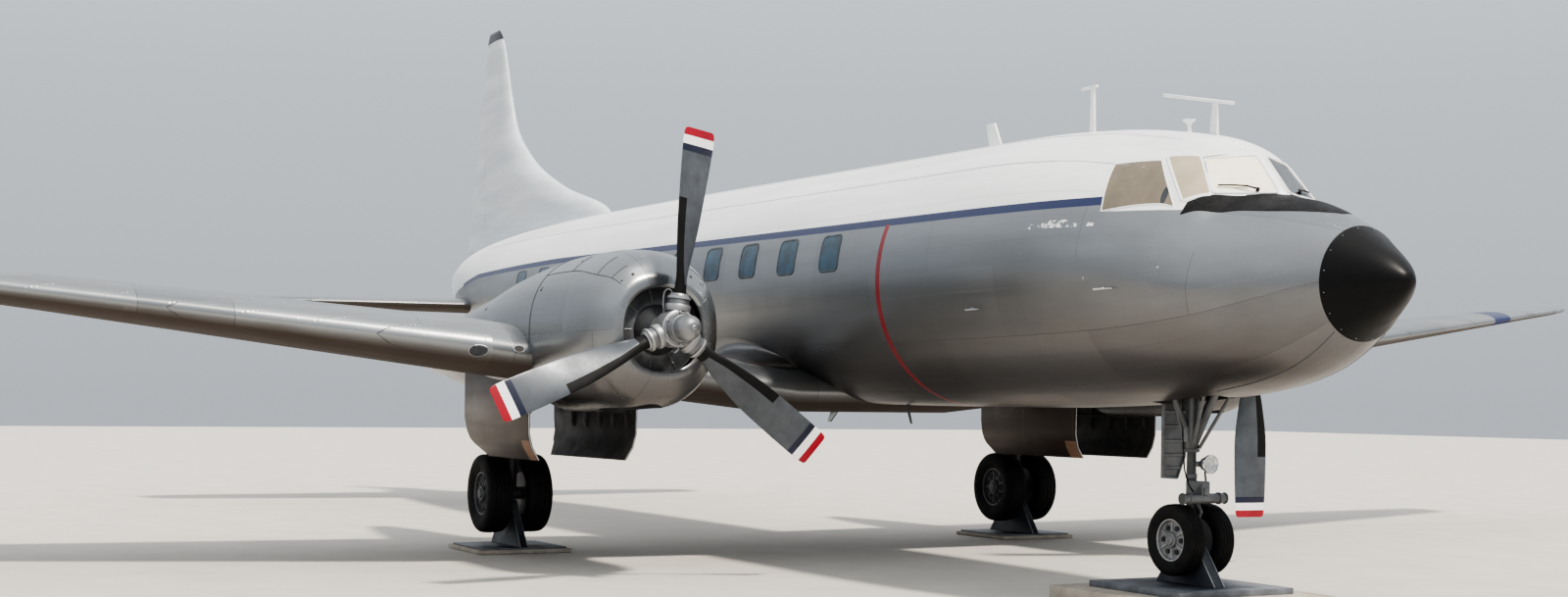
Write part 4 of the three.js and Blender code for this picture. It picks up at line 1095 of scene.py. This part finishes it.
def addEngine(word, y):
    # crankcase and nose case, finned cylinders with rods, and a pressed baffle plate with studs and ribs
    finned, rods = [], []
    for a in circle(engine["cylinders"]):
        dy, dz = math.cos(a + math.pi / 2), math.sin(a + math.pi / 2)
        rows = []
        for along, radius in cylinderProfile():
            row = []
            for t in circle(20):
                x, out = engine["cylinderX"] + math.cos(t) * radius, math.sin(t) * radius
                row.append((x, y + dy * along - dz * out, shaftZ + dz * along + dy * out))
            rows.append(row)
        finned.append(loftRows(rows))
        for shift in (-engine["rodShift"], engine["rodShift"]):
            rods.append(rod([(x, y + dy * r - dz * shift * k, shaftZ + dz * r + dy * shift * k)
                             for x, r, k in engine["rod"]], 11, 8))
    plate = [turned(engine[name], (engine["baffleX"], y, shaftZ), "x", 72, "meet")
             for name in ("baffle", "collar")]
    for a in circle(engine["cylinders"], 0.5):
        dy, dz = math.cos(a), math.sin(a)
        spot = (engine["studX"], y + dy * engine["studRing"], shaftZ + dz * engine["studRing"])
        plate.append(turned(engine["stud"], spot, "x", 12))
        plate.append(rod([(x, y + dy * r, shaftZ + dz * r) for x, r in engine["rib"]], [13, 9, 7], 8))
    addPiece(f"engineBaffle_{word}", plate, baffleMetal, "engine_grey")
    leads = [rod([(q[0], y + q[1], q[2]) for q in engine[name]], radius, sides)
             for name, radius, sides in engine["pipes"]]
    addPiece(f"engineLead_{word}", leads, edgeMetal, "engine_grey")
    core = turned(engine["core"], (engine["rearX"], y, shaftZ), "x", 64)
    addPiece(f"engineCase_{word}", [core], engineDark, "engine_grey", stands=[f"engine_{word}"])
    addPiece(f"engineCylinders_{word}", finned, finMetal, "engine_grey")
    addPiece(f"enginePushrods_{word}", rods, brightRod, "engine_grey")


for word, side in hands:
    addNacelle(word, podY * side)
    addEngine(word, podY * side)
print("engines done")


# propellers: rows are [radius, chord, thickness, twist], bands are where navy, white and red start and end

blade = {
    "rows": [[140, 150, 150, -1.0], [420, 180, 130, -.85], [700, 275, 75, -.62], [1200, 380, 42, -.47],
             [1750, 392, 26, -.27], [1980, 385, 18, -.2], [2035, 360, 12, -.2], [2057, 300, 9, -.2]],
    "around": 40, "cuffTo": 470, "bootTo": 1330, "bootEdge": -0.45, "bands": [1812, 1884, 1974, 2057],
    "extra": [1848, 1930, 2000, 2030, 2042, 2050], "lean": {"left": -1.039, "right": -0.125}, "x": 6218,
    "tipFrom": 2020, "tipChord": 372, "tipLong": 37, "flatFrom": 620, "turnOver": 340,
    "stations": ((140, 1330, 20), (1330, 1800, 8))}
hub = {
    "body": [[-120, 120], [-120, 176], [-108, 190], [108, 190], [120, 176], [126, 150], [150, 146],
             [176, 132], [186, 136], [212, 136], [220, 126], [232, 126], [236, 134], [262, 135], [270, 134],
             [330, 131], [376, 121], [410, 104], [434, 82], [449, 56], [455, 40], [456, 27], [464, 26],
             [470, 20], [472, 10], [472, 0.5]],
    "socket": [[120, 112], [172, 114], [180, 128], [196, 131], [236, 131], [246, 126], [252, 112],
               [296, 108], [304, 122], [326, 122], [334, 104], [356, 94]],
    "bolt": [[100, 14], [132, 14], [134, 11], [142, 11], [142, 0.5]], "boltRing": 164}
bladeCurves = tableCurves(blade["rows"])


def bladePoint(side, lean, r, c, t, twist=0.0):
    across = c * math.cos(twist) - t * math.sin(twist)
    fore = c * math.sin(twist) + t * math.cos(twist)
    return (blade["x"] + fore, podY * side - math.sin(lean) * r + math.cos(lean) * across,
            shaftZ + math.cos(lean) * r + math.sin(lean) * across)


def bladeRow(side, lean, r):
    # a foil section that turns round towards the root, with a rounded tip
    chord, thick, twist = readAll(bladeCurves, r)
    if r > blade["tipFrom"]:
        chord = blade["tipChord"] * (1 - ((r - blade["tipFrom"]) / blade["tipLong"]) ** 3 * 0.16)
    roundness = max(0.0, min(1.0, (blade["flatFrom"] - r) / blade["turnOver"]))
    row = []
    for a in circle(blade["around"]):
        oval = math.sin(a) * thick / 2
        foil = oval * (1.15 if math.sin(a) > 0 else 0.65) * (0.84 - 0.28 * math.cos(a))
        high = oval * roundness + foil * (1 - roundness)
        row.append(bladePoint(side, lean, r, chord / 2 * math.cos(a), high, twist))
    return row


def bladeMark(r, angle):
    # which look a face has: 0 grey, 1 boot, 2 red, 3 white, 4 navy
    navy, white, red = blade["bands"][:3]
    if r > navy:
        return 4 if r < white else (3 if r < red else 2)
    return 1 if r < blade["cuffTo"] or (math.cos(angle) < blade["bootEdge"] and r < blade["bootTo"]) else 0


stations = sum((spread(*reach) for reach in blade["stations"]), blade["bands"] + blade["extra"])
stations = sorted(set(stations))
for word, side in hands:
    leans = [blade["lean"][word] + a for a in circle(3)]
    blades = [loftRows([bladeRow(side, lean, r) for r in stations]) for lean in leans]
    marks = [bladeMark((r + nextR) / 2, a) for r, nextR in zip(stations, stations[1:])
             for a in circle(blade["around"], 0.5)] + [0, 2]
    body = f"propeller_{word}"
    piece = addPiece(f"propellerBlades_{word}", blades, [bladePaint, bootRubber, tipRed, tipWhite, tipNavy],
                     "propeller_grey", body, [body], 50)
    for face, mark in zip(piece.data.polygons, marks * 3):
        face.material_index = mark
    centre = (blade["x"], podY * side, shaftZ)
    parts = [turned(hub["body"], centre, "x", 56)]
    for lean in leans:
        parts.append(loftRows([[bladePoint(side, lean, r, math.cos(a) * radius, math.sin(a) * radius)
                                for a in circle(32)] for r, radius in hub["socket"]]))
    for a in circle(6, 0.5):
        y, z = centre[1] + math.cos(a) * hub["boltRing"], shaftZ + math.sin(a) * hub["boltRing"]
        parts.append(turned(hub["bolt"], (blade["x"], y, z), "x", 12))
    addPiece(f"propellerHub_{word}", parts, hubMetal, "propeller_grey", body, sharp=35)
print("propellers done")


# fin: smooth loft with the long fairing ahead of it, cut back round the rudder's hinge

# rows are [height, nose x, rear x, thickness share], the hinge line is (z, x) to (z, x)
tail = {"rows": [[4500, -4300, -12000, 0.056], [5000, -4850, -11856, 0.062], [5550, -6840, -11706, 0.088],
                 [6130, -8300, -11548, 0.118], [6860, -9250, -11350, 0.13], [7430, -9530, -11195, 0.125],
                 [8640, -10050, -10865, 0.11], [8796, -10220, -10760, 0.09]],
        "hinge": [4700, -10700, 8560, -10560], "stations": 70, "around": 34, "gap": 8,
        "hingeCuts": (4693, 5550, 6130, 6860, 7430, 8567), "room": (2600, 900), "reach": (4500, 8770),
        "cap": ((8786, 0.8), (8794, 0.5), (8796, 0.2))}
tailCurves = tableCurves(tail["rows"])


def foilHalf(share, chord, t):
    # half thickness of the section at a share t of its chord
    shape = 0.2969 * math.sqrt(t) - 0.126 * t - 0.3516 * t * t + 0.2843 * t ** 3 - 0.1 * t ** 4
    return 5 * share * chord * shape


def finRing(z, squeeze=1.0):
    nose, rear, share = readAll(tailCurves, z)
    chord = nose - rear
    ts = [0.5 - 0.5 * math.cos(math.pi * i / tail["around"]) for i in range(tail["around"] + 1)]
    upper = [(nose - t * chord, squeeze * foilHalf(share, chord, t), z) for t in ts]
    return upper[::-1] + [(p[0], -p[1], p[2]) for p in upper[1:]]


def hingeRow(z):
    # room for the rudder's round nose, and everything behind it
    z0, x0, z1, x1 = tail["hinge"]
    x = x0 + (x1 - x0) * (z - z0) / (z1 - z0)
    nose, rear, share = readAll(tailCurves, z)
    r = 1.02 * foilHalf(share, nose - rear, (nose - x) / (nose - rear)) + tail["gap"]
    row = [(x + r * math.cos(a), r * math.sin(a), z) for a in spread(math.pi / 2, -math.pi / 2, 17)]
    back, wide = tail["room"]
    return row + [(x - 1, -wide, z), (x - back, -wide, z), (x - back, wide, z), (x - 1, wide, z)]


rows = [finRing(z) for z in spread(*tail["reach"], tail["stations"])]
rows += [finRing(z, squeeze) for z, squeeze in tail["cap"]]
fin = addPiece("finSkinLoft", [loftRows(rows)], finSkin, "white_paint", stands=["fin"], sharp=40)
carve(fin, [loftRows([hingeRow(z) for z in tail["hingeCuts"]])], whitePaint, 40)


# wings, tail and moving surfaces: the CAD solids, smooth round their noses

for node, name in (("wing_centre", "wingCentreSkin"), ("wing_left", "wingSkin_left"),
                   ("wing_right", "wingSkin_right"), ("tailplane", "tailplaneSkin")):
    fromCad(node, name, wingSkin, "bare_metal", sharp=62)
fromCad("rudder", "rudderSkin", finSkin, "white_paint", sharp=62, body="rudder")
for word, side in hands:
    for node, name, body in ((f"elevator_{word}", f"elevatorSkin_{word}", "elevator"),
                             (f"flap_inner_{word}", f"flapSkin_inner_{word}", f"flap_{word}"),
                             (f"flap_outer_{word}", f"flapSkin_outer_{word}", f"flap_{word}"),
                             (f"aileron_{word}", f"aileronSkin_{word}", f"aileron_{word}")):
        fromCad(node, name, wingSkin, "bare_metal", sharp=62, body=body)
# lamp and air inlet in each wing's leading edge, [y, z, half width, half height], and the tip lamps
wingEdge = {"lamp": (5147, 2411, 95, 60), "inlet": (4700, 2440, 60, 34), "tip": (570, 15968, 3678),
            "lens": [[-60, 2], [-50, 16], [-20, 26], [10, 27], [34, 22], [48, 12], [52, 0.5]],
            "ahead": 5200}
lampRings, lampPanes = [], {"lamp": [], "inlet": []}
for word, side in hands:
    for kind, node in (("lamp", f"wing_{word}"), ("inlet", "wing_centre")):
        y, z, wide, tall = wingEdge[kind]

        def onEdge(p, height, surface=surfaceOf(node)):
            spot, facing = layOn(surface, (wingEdge["ahead"], p[0], p[1]), (-1, 0, 0))
            return tuple(spot + facing * height)
        oval = [(side * y + wide * math.cos(t), z + tall * math.sin(t)) for t in circle(28)]
        lampRings.append(ringOn(oval, 3, 8, 3, onEdge, -7))
        lampPanes[kind].append(paneOn(oval, 3, 0, 2.5, onEdge))
    x, y, z = wingEdge["tip"]
    addPiece(f"tipLamp_{word}", [turned(wingEdge["lens"], (x, side * y, z), "x", 24)],
             lampRed if side > 0 else lampGreen, "cockpit_screen")
addPiece("wingLampRims", lampRings, frameMetal, "bare_metal")
addPiece("wingLampPanes", lampPanes["lamp"], smokedPane, "cockpit_screen")
# the air inlets are dark plates on the leading edge: painted shade
addPiece("wingInletHoles", lampPanes["inlet"], darkHole, "black_paint")
print("flying surfaces done")


# wheels: axle is (x, z); shapes are in shares of the rim's radius, the wheel's depth or the tyre's height

wheels = {
    "main": {"axle": (1300, 713), "places": {"_left": podY, "_right": -podY}, "offset": 255, "half": 160,
             "big": 489, "rim": 262, "holes": 9, "paint": darkWheelPaint},
    "nose": {"axle": (9700, 631), "places": {"": 0}, "offset": 172, "half": 97, "big": 343, "rim": 196,
             "holes": 6, "paint": wheelPaint}}
tyreWall = ((0.93, 0.22), (0.985, 0.40), (1.0, 0.52), (0.985, 0.64), (0.955, 0.74), (0.93, 0.78),
            (0.86, 0.885), (0.74, 0.95))
wheelDisc = ((-0.9, 0.93), (-0.9, 1.0), (0.70, 1.0), (0.86, 1.045), (0.93, 1.03), (0.90, 0.955),
             (0.55, 0.90), (0.50, 0.82), (0.58, 0.50), (0.64, 0.40), (0.95, 0.35), (0.98, 0.32),
             (0.98, 0.24), (1.10, 0.22), (1.12, 0.19))
wheelRib = ((0.36, 0.075, 0.60), (0.5, 0.055, 0.68), (0.7, 0.05, 0.66), (0.88, 0.07, 0.60))


def tyreProfile(half, big, rim):
    # bead, side wall with a raised band, shoulder, and a tread with four grooves
    side = [[-half * 0.62, rim], [-half * 0.80, rim + 6]]
    side += [[-half * out, rim + (big - rim) * up] for out, up in tyreWall]
    tread = []
    deep = big * 0.022
    for g in (-0.5, -0.17, 0.17, 0.5):
        lip = big - deep * 0.12 - abs(g) * deep * 0.5
        tread += [[half * (g + wide), high] for wide, high in ((-0.05, lip), (-0.042, big - deep),
                                                               (0.042, big - deep), (0.05, lip))]
        if g < 0.5:
            tread.append([half * (g + 0.165), big - abs(g + 0.165) * deep * 0.5])
    return side + tread + [[-a, r] for a, r in side[::-1]]


def addWheels(kind, word, middleY):
    wheel = wheels[kind]
    rim, count, depth, paint = wheel["rim"], wheel["holes"], wheel["half"] * 0.82, wheel["paint"]
    body = f"main_wheels{word}" if kind == "main" else "nose_wheels"
    discs, bolts, holes = [], [], []
    for out in (-1, 1):
        x, y, z = wheel["axle"][0], middleY + out * wheel["offset"], wheel["axle"][1]
        if kind == "main":
            node = f"main_tyre_{'inner' if (out > 0) == (middleY < 0) else 'outer'}{word}"
        else:
            node = f"nose_tyre_{'left' if out > 0 else 'right'}"
        tyre = turned(tyreProfile(wheel["half"], wheel["big"], rim), (x, y, z), "y", 96, "meet")
        addPiece(f"{kind}Tyre_{node[-12:]}", [tyre], tyreRubber, "tyre", body, [node], 35)
        # dished casting with a rolled rim and a hub boss, ribs and bolts on it, and dark plugs for the holes
        # between them, painted shade
        disc = [[depth * a * out, rim * r] for a, r in wheelDisc] + [[depth * 1.12 * out, 0.5]]
        discs.append(turned(disc, (x, y, z), "y", 72))
        bolt = [[0, rim * 0.035], [out * depth * 0.16, rim * 0.035], [out * depth * 0.18, rim * 0.02],
                [out * depth * 0.2, 0.5]]
        for a, ribAngle in zip(circle(count), circle(count, 0.5)):
            rib = []
            c, s = math.cos(ribAngle) * rim, math.sin(ribAngle) * rim
            for r, wide, high in wheelRib:
                y0, y1 = y + out * depth * 0.45, y + out * depth * (high + 0.06)
                section = ((-wide, y0), (-wide * 0.6, y1), (wide * 0.6, y1), (wide, y0))
                rib.append([(x + c * r - s * edge, level, z + s * r + c * edge) for edge, level in section])
            bolts.append(loftRows(rib))
            spot = (x + math.cos(a) * rim * 0.86, y + out * depth * 0.5, z + math.sin(a) * rim * 0.86)
            bolts.append(turned(bolt, spot, "y", 8))
            spot = (x + math.cos(a) * rim * 0.645, y + out * depth * 0.42, z + math.sin(a) * rim * 0.645)
            holes.append(turned([[0, rim * 0.125], [out * depth * 0.3, rim * 0.125]], spot, "y", 20))
    axle = [[-wheel["offset"], rim * 0.14], [wheel["offset"], rim * 0.14]]
    discs.append(turned(axle, (wheel["axle"][0], middleY, wheel["axle"][1]), "y", 40))
    hubNode = f"main_hubs{word}" if kind == "main" else "nose_hubs"
    addPiece(f"{kind}Wheels{word}", discs, paint, "wheel_paint", body, [hubNode])
    addPiece(f"{kind}WheelRibs{word}", bolts, paint, "wheel_paint", body)
    addPiece(f"{kind}WheelHoles{word}", holes, darkHole, "wheel_paint", body)


for kind in wheels:
    for word, middleY in wheels[kind]["places"].items():
        addWheels(kind, word, middleY)


# main gear doors: the leaf leans outwards by lean over its length; ribs and rails are on the bay's side

gearDoor = {"front": 1300, "long": 2400, "hingeY": 570, "lean": {"outer": 40, "inner": 100},
            "edgeShift": {"outer": -59, "inner": 0}, "ribs": [1560 + 380 * k for k in range(6)],
            "ribFoot": 1560, "ribSlant": (1900, 0.5), "ribTop": 2300, "ribDeep": (6, 34), "footRise": 60,
            "railZ": (1750, 2080), "railX": (1480, 3620), "rail": ((-16, 0), (16, 0), (10, 26), (-10, 26)),
            "edge": [(3674, 684, 2250), (3664, 684, 1500), (3658, 645, 1345), (3654, 556, 1200)]}


def addGearDoor(word, side, part):
    middleY, away = podY * side, side if part == "outer" else -side
    # the left leaves take the darker copy: painted shade under the hull
    door = fromCad(f"gear_door_{part}_{word}", f"gearDoorPlate_{part}_{word}",
                   deepShadeDoorSkin if word == "left" else gearDoorSkin, "bare_metal", 2)
    # the side that faces the bay is primed dark
    door.data.materials.append(doorInside)
    for face in door.data.polygons:
        toBay = 1 if middleY / 1000 > face.center.y else -1
        if face.normal.y * toBay > 0.2 or abs(face.normal.x) > 0.9:
            face.material_index = 1

    def leafY(x):
        lean = (x - gearDoor["front"]) / gearDoor["long"] * gearDoor["lean"][part]
        return middleY + away * (gearDoor["hingeY"] + lean - 2)
    ribs = []
    for x in gearDoor["ribs"]:
        y, (slantTo, slant), (thin, thick) = leafY(x), gearDoor["ribSlant"], gearDoor["ribDeep"]
        low = gearDoor["ribFoot"] + max(0, slantTo - x) * slant
        ribs.append(loftRows([[(x - 16, y, z), (x + 16, y, z), (x + 10, y - away * deep, z),
                               (x - 10, y - away * deep, z)]
                              for z, deep in ((low, thin), (low + gearDoor["footRise"], thick),
                                              (gearDoor["ribTop"], thick))]))
    for z in gearDoor["railZ"]:
        ribs.append(loftRows([[(x, leafY(x) - away * deep, z + up) for up, deep in gearDoor["rail"]]
                              for x in gearDoor["railX"]]))
    addPiece(f"gearDoorRibs_{part}_{word}", ribs, doorInside, "bare_metal")
    # a thin bright line along the front edge of the leaf
    edge = [(x, middleY + away * (y + gearDoor["edgeShift"][part]), z) for x, y, z in gearDoor["edge"]]
    addPiece(f"gearDoorEdge_{part}_{word}", [rod(edge, 6, 10)], edgeMetal, "bare_metal")


# bright edges of the stands' plates, [way from the middle, height]
standEdge = {"main": [(540, 72), (130, 628)], "nose": [(424, 212), (217, 487), (158, 567)]}


def addStand(name, node, x, y, halfY, radius, edge):
    fromCad(node, name.replace("Edges", "Plates"), standPaint, "stand_steel", 5)
    edges = [rod([(end * out + x, y + k, z) for out, z in edge], radius, 8)
             for end in (-1, 1) for k in (-halfY, halfY)]
    addPiece(name, edges, edgeMetal, "stand_steel")


for word, side in hands:
    fromCad(f"main_leg_{word}", f"mainLegForging_{word}", gearPaint, "gear_paint", 4)
    for part in ("outer", "inner"):
        addGearDoor(word, side, part)
    addStand(f"mainStandEdges_{word}", f"main_stand_{word}", 1300, podY * side, 44, 4, standEdge["main"])
    fromCad(f"main_pad_{word}", f"mainPadSlab_{word}", concrete, "concrete", 12)
addStand("noseStandEdges", "nose_stand", 9700, 0, 56, 4.5, standEdge["nose"])
fromCad("nose_pad", "nosePadSlab", concrete, "concrete", 14)

# nose leg: collars on the leg, caps of the cross tube, bracing links up to the bay, hoses and the lamp
noseLeg = {
    "collars": (([[-16, 66], [-14, 76], [14, 76], [16, 66]], 1478, 36),
                ([[-22, 45], [-20, 56], [20, 56], [22, 45]], 1235, 32),
                ([[-10, 45], [-8, 53], [8, 53], [10, 45]], 900, 32)),
    "caps": (([[-14, 46], [-12, 57], [12, 57], [14, 46]], 178),
             ([[-10, 46], [-8, 56], [6, 56], [8, 40], [9, 0.5]], 252)),
    "links": (([(9700, 60, 1560), (9700, 66, 1700)], 30, 16),
              ([(9760, 40, 1500), (10030, 150, 1960), (10060, 160, 2060)], 17, 12),
              ([(9640, 50, 1620), (9500, 130, 2150)], 14, 12)),
    "towLink": [(9790, 0, 990), (9850, 0, 900), (9800, 0, 800), (9745, 0, 760)],
    "hoses": (([(9668, 62, 2560), (9650, 74, 2200), (9655, 72, 1800), (9668, 66, 1500), (9690, 60, 1250),
                (9720, 52, 1100), (9760, 50, 1060)], 8),
              ([(9660, -60, 2560), (9640, -72, 2100), (9650, -70, 1650), (9672, -62, 1300),
                (9730, -56, 1150), (9800, -60, 1090)], 7),
              ([(9800, 80, 1280), (9815, 76, 1215), (9840, 60, 1160), (9860, 36, 1120)], 9)),
    "legX": 9700, "tube": (9880, 1030), "lamp": (9868, 80, 1351), "bars": (-2, -1, 0, 1, 2),
    "barPitch": 20, "barHalf": 62,
    "towPlates": ((9896, 9914, -46, 46, 1024, 1176), (9905, 9930, -26, 26, 1060, 1130)),
    "rim": [[-6, 84], [0, 90], [14, 91], [22, 88], [24, 83], [20, 79], [14, 78], [-4, 78]],
    "bowl": [[2, 0.5], [3, 18], [6, 38], [11, 60], [17, 79], [13, 79], [1, 60], [-1, 20], [-1, 0.5]],
    "bulb": [[4, 10], [16, 11], [24, 8], [27, 0.5]]}
fromCad("nose_leg", "noseLegForging", gearPaint, "gear_paint", 3)
fittings = [turned(profile, (noseLeg["legX"], 0, z), "z", sides) for profile, z, sides in noseLeg["collars"]]
tubeX, tubeZ = noseLeg["tube"]
for side in (-1, 1):
    fittings += [turned(profile, (tubeX, side * y, tubeZ), "y", 28) for profile, y in noseLeg["caps"]]
    fittings += [rod([(x, side * y, z) for x, y, z in route], radius, sides)
                 for route, radius, sides in noseLeg["links"]]
fittings += [block(*plate) for plate in noseLeg["towPlates"]]
fittings.append(rod(noseLeg["towLink"], [18, 16, 16, 18], 12))
soften(addPiece("noseGearFittings", fittings, gearPaint, "gear_paint"), 2.5, 2, 40)
hoses = [rod(route, radius, 10) for route, radius in noseLeg["hoses"]]
addPiece("noseGearHoses", hoses, bootRubber, "black_paint")
lampX, lampY, lampZ = noseLeg["lamp"]
addPiece("noseLampRim", [turned(noseLeg["rim"], noseLeg["lamp"], "x", 48, "meet")], brightRod, "gear_paint")
addPiece("noseLampBowl", [turned(noseLeg["bowl"], noseLeg["lamp"], "x", 48)], brightRod, "gear_paint")
bulb = [turned(noseLeg["bulb"], noseLeg["lamp"], "x", 20)]
for k in noseLeg["bars"]:
    y, half = lampY + noseLeg["barPitch"] * k, noseLeg["barHalf"]
    bulb.append(block(lampX + 13, lampX + 17, y - 2, y + 2, lampZ - half, lampZ + half))
addPiece("noseLampBulb", bulb, lampGlass, "gear_paint")

# nose door: ribs are (z, from y, to y), with a rolled rim round them; rib is (x, height from its middle)
noseDoor = {
    "rib": ((9361, -15), (9361, 15), (9380, 9), (9380, -9)), "rimX": 9370,
    "ribs": [(1300, -68, 128), (1425, -72, 186)] + [(z, -72, 190) for z in (1560, 1700, 1840, 1975)],
    "rims": ([(-72, 1215), (-72, 1985)], [(108, 1205), (194, 1412), (192, 1985)], [(-72, 1212), (108, 1202)])}
fromCad("nose_door", "noseDoorPlate", doorGrey, "gear_paint", 3)
ribs = [loftRows([[(x, y, z + up) for x, up in noseDoor["rib"]] for y in ends])
        for z, *ends in noseDoor["ribs"]]
ribs += [rod([(noseDoor["rimX"], y, z) for y, z in route], 10, 8) for route in noseDoor["rims"]]
addPiece("noseDoorRibs", ribs, doorGrey, "gear_paint", sharp=30)

# airstair: steps on the inside of the door, and the rails that they are fixed to
airstair = {"steps": 7, "first": 2700, "pitch": 215, "x": (7475, 8125), "railX": (7462, 8138),
            "railZ": (2660, 4120), "middleX": 7800, "stepIn": (192, 66), "stepHigh": 26, "railIn": 96}
fromCad("airstair_door", "airstairDoorSkin", hullSkin, "white_paint", 3, body="airstair_door")
steps, rails = [], []
for z in (airstair["first"] + k * airstair["pitch"] for k in range(airstair["steps"])):
    wall = hullPoint(airstair["middleX"], hullAngle(airstair["middleX"], z, 1))[1]
    front, back = (wall - far for far in airstair["stepIn"])
    steps.append(block(*airstair["x"], front, back, z, z + airstair["stepHigh"]))
for x in airstair["railX"]:
    rails.append(rod([(x, hullPoint(x, hullAngle(x, z, 1))[1] - airstair["railIn"], z)
                      for z in spread(*airstair["railZ"], 16)], 16, 10))
soften(addPiece("airstairTreads", steps, treadRubber, "black_paint", "airstair_door"), 4)
addPiece("airstairRails", rails, frameMetal, "bare_metal", "airstair_door")
for node, name, look, slotName in (("aerial_mast_front", "aerialMastFront", whitePaint, "black_paint"),
                                   ("aerial_mast_rear", "aerialMastRear", whitePaint, "black_paint"),
                                   ("aerial_blade_top", "aerialBladeTop", whitePaint, "white_paint"),
                                   ("aerial_blade_belly", "aerialBladeBelly", frameMetal, "bare_metal"),
                                   ("aerial_post_belly", "aerialPostBelly", gearPaint, "black_paint")):
    fromCad(node, name, look, slotName, 4, 40)
print("undercarriage and aerials done")


# floor, light and camera: metres, seen from the photograph's place

stage = {
    "floorHalf": 90, "floorZ": -0.002, "strength": 1.34, "sun": 4.8, "sunAngle": 5, "sunTint": "FFF6EA",
    "sky": ((0.0, "A2A7AD"), (0.16, "B4BAC0"), (0.42, "E4E9EE"), (0.7, "F4F7FA"), (1.0, "F4F8FC")),
    "sunFrom": (15, 3, 24)}
camera = {"at": (23.775, -11.807, 1.900), "lens": 43.42, "rise": 0.07815, "sensor": 36, "clip": (0.1, 400),
          "right": (0.46648625, 0.88444971, 0.01180228), "up": (-0.01484441, -0.00551314, 0.99987462),
          "back": (0.88440388, -0.46660296, 0.01055733)}


def floorMaterial():
    # plain pale studio floor with a faint grain
    material, tree, shader, place = startMaterial("paleRolledFloor")
    grain = noise(tree, 1.2, 6.0, 0.6, place)
    setInputs(tree, shader, {"Base Color": ramp(tree, grain, (0.3, "BDB8B0"), (0.7, "C8C3BB")),
                             "Roughness": 0.85, "Normal": bump(tree, 0.2, 0.002, grain)})
    return material


floorMesh = bpy.data.meshes.new("studioFloor")
corners = [(x * stage["floorHalf"], y * stage["floorHalf"]) for x, y in ((-1, -1), (1, -1), (1, 1), (-1, 1))]
floorMesh.from_pydata([(x, y, stage["floorZ"]) for x, y in corners], [], [(0, 1, 2, 3)])
floorMesh.materials.append(floorMaterial())
studioFloor = bpy.data.objects.new("studioFloor", floorMesh)
collection.objects.link(studioFloor)

world = bpy.data.worlds.new("softStudio")
bpy.context.scene.world = world
world.use_nodes = True
tree = world.node_tree
tree.nodes.clear()
skyPlace = addNode(tree, "ShaderNodeTexCoord").outputs["Generated"]
height = addNode(tree, "ShaderNodeSeparateXYZ", None, {0: skyPlace}).outputs[2]
sky = {"Color": ramp(tree, height, *stage["sky"]), "Strength": stage["strength"]}
sky = addNode(tree, "ShaderNodeBackground", None, sky).outputs[0]
addNode(tree, "ShaderNodeOutputWorld", None, {0: sky})

sunData = bpy.data.lights.new("keySun", "SUN")
sunData.energy = stage["sun"]
sunData.angle = math.radians(stage["sunAngle"])
sunData.color = hexColour(stage["sunTint"])[:3]
keySun = bpy.data.objects.new("keySun", sunData)
keySun.rotation_euler = Vector(stage["sunFrom"]).to_track_quat("Z", "Y").to_euler()
collection.objects.link(keySun)

cameraData = bpy.data.cameras.new("photoCamera")
cameraData.lens = camera["lens"]
cameraData.sensor_width = camera["sensor"]
cameraData.sensor_fit = "HORIZONTAL"
cameraData.shift_y = camera["rise"]
cameraData.clip_start, cameraData.clip_end = camera["clip"]
photoCamera = bpy.data.objects.new("photoCamera", cameraData)
collection.objects.link(photoCamera)
rotation = Matrix(list(zip(camera["right"], camera["up"], camera["back"])))
photoCamera.rotation_euler = rotation.to_euler()
photoCamera.location = camera["at"]
bpy.context.scene.camera = photoCamera

# a little more contrast, as in bright daylight
bpy.context.scene.view_settings.view_transform = "AgX"
bpy.context.scene.view_settings.look = "AgX - Medium High Contrast"
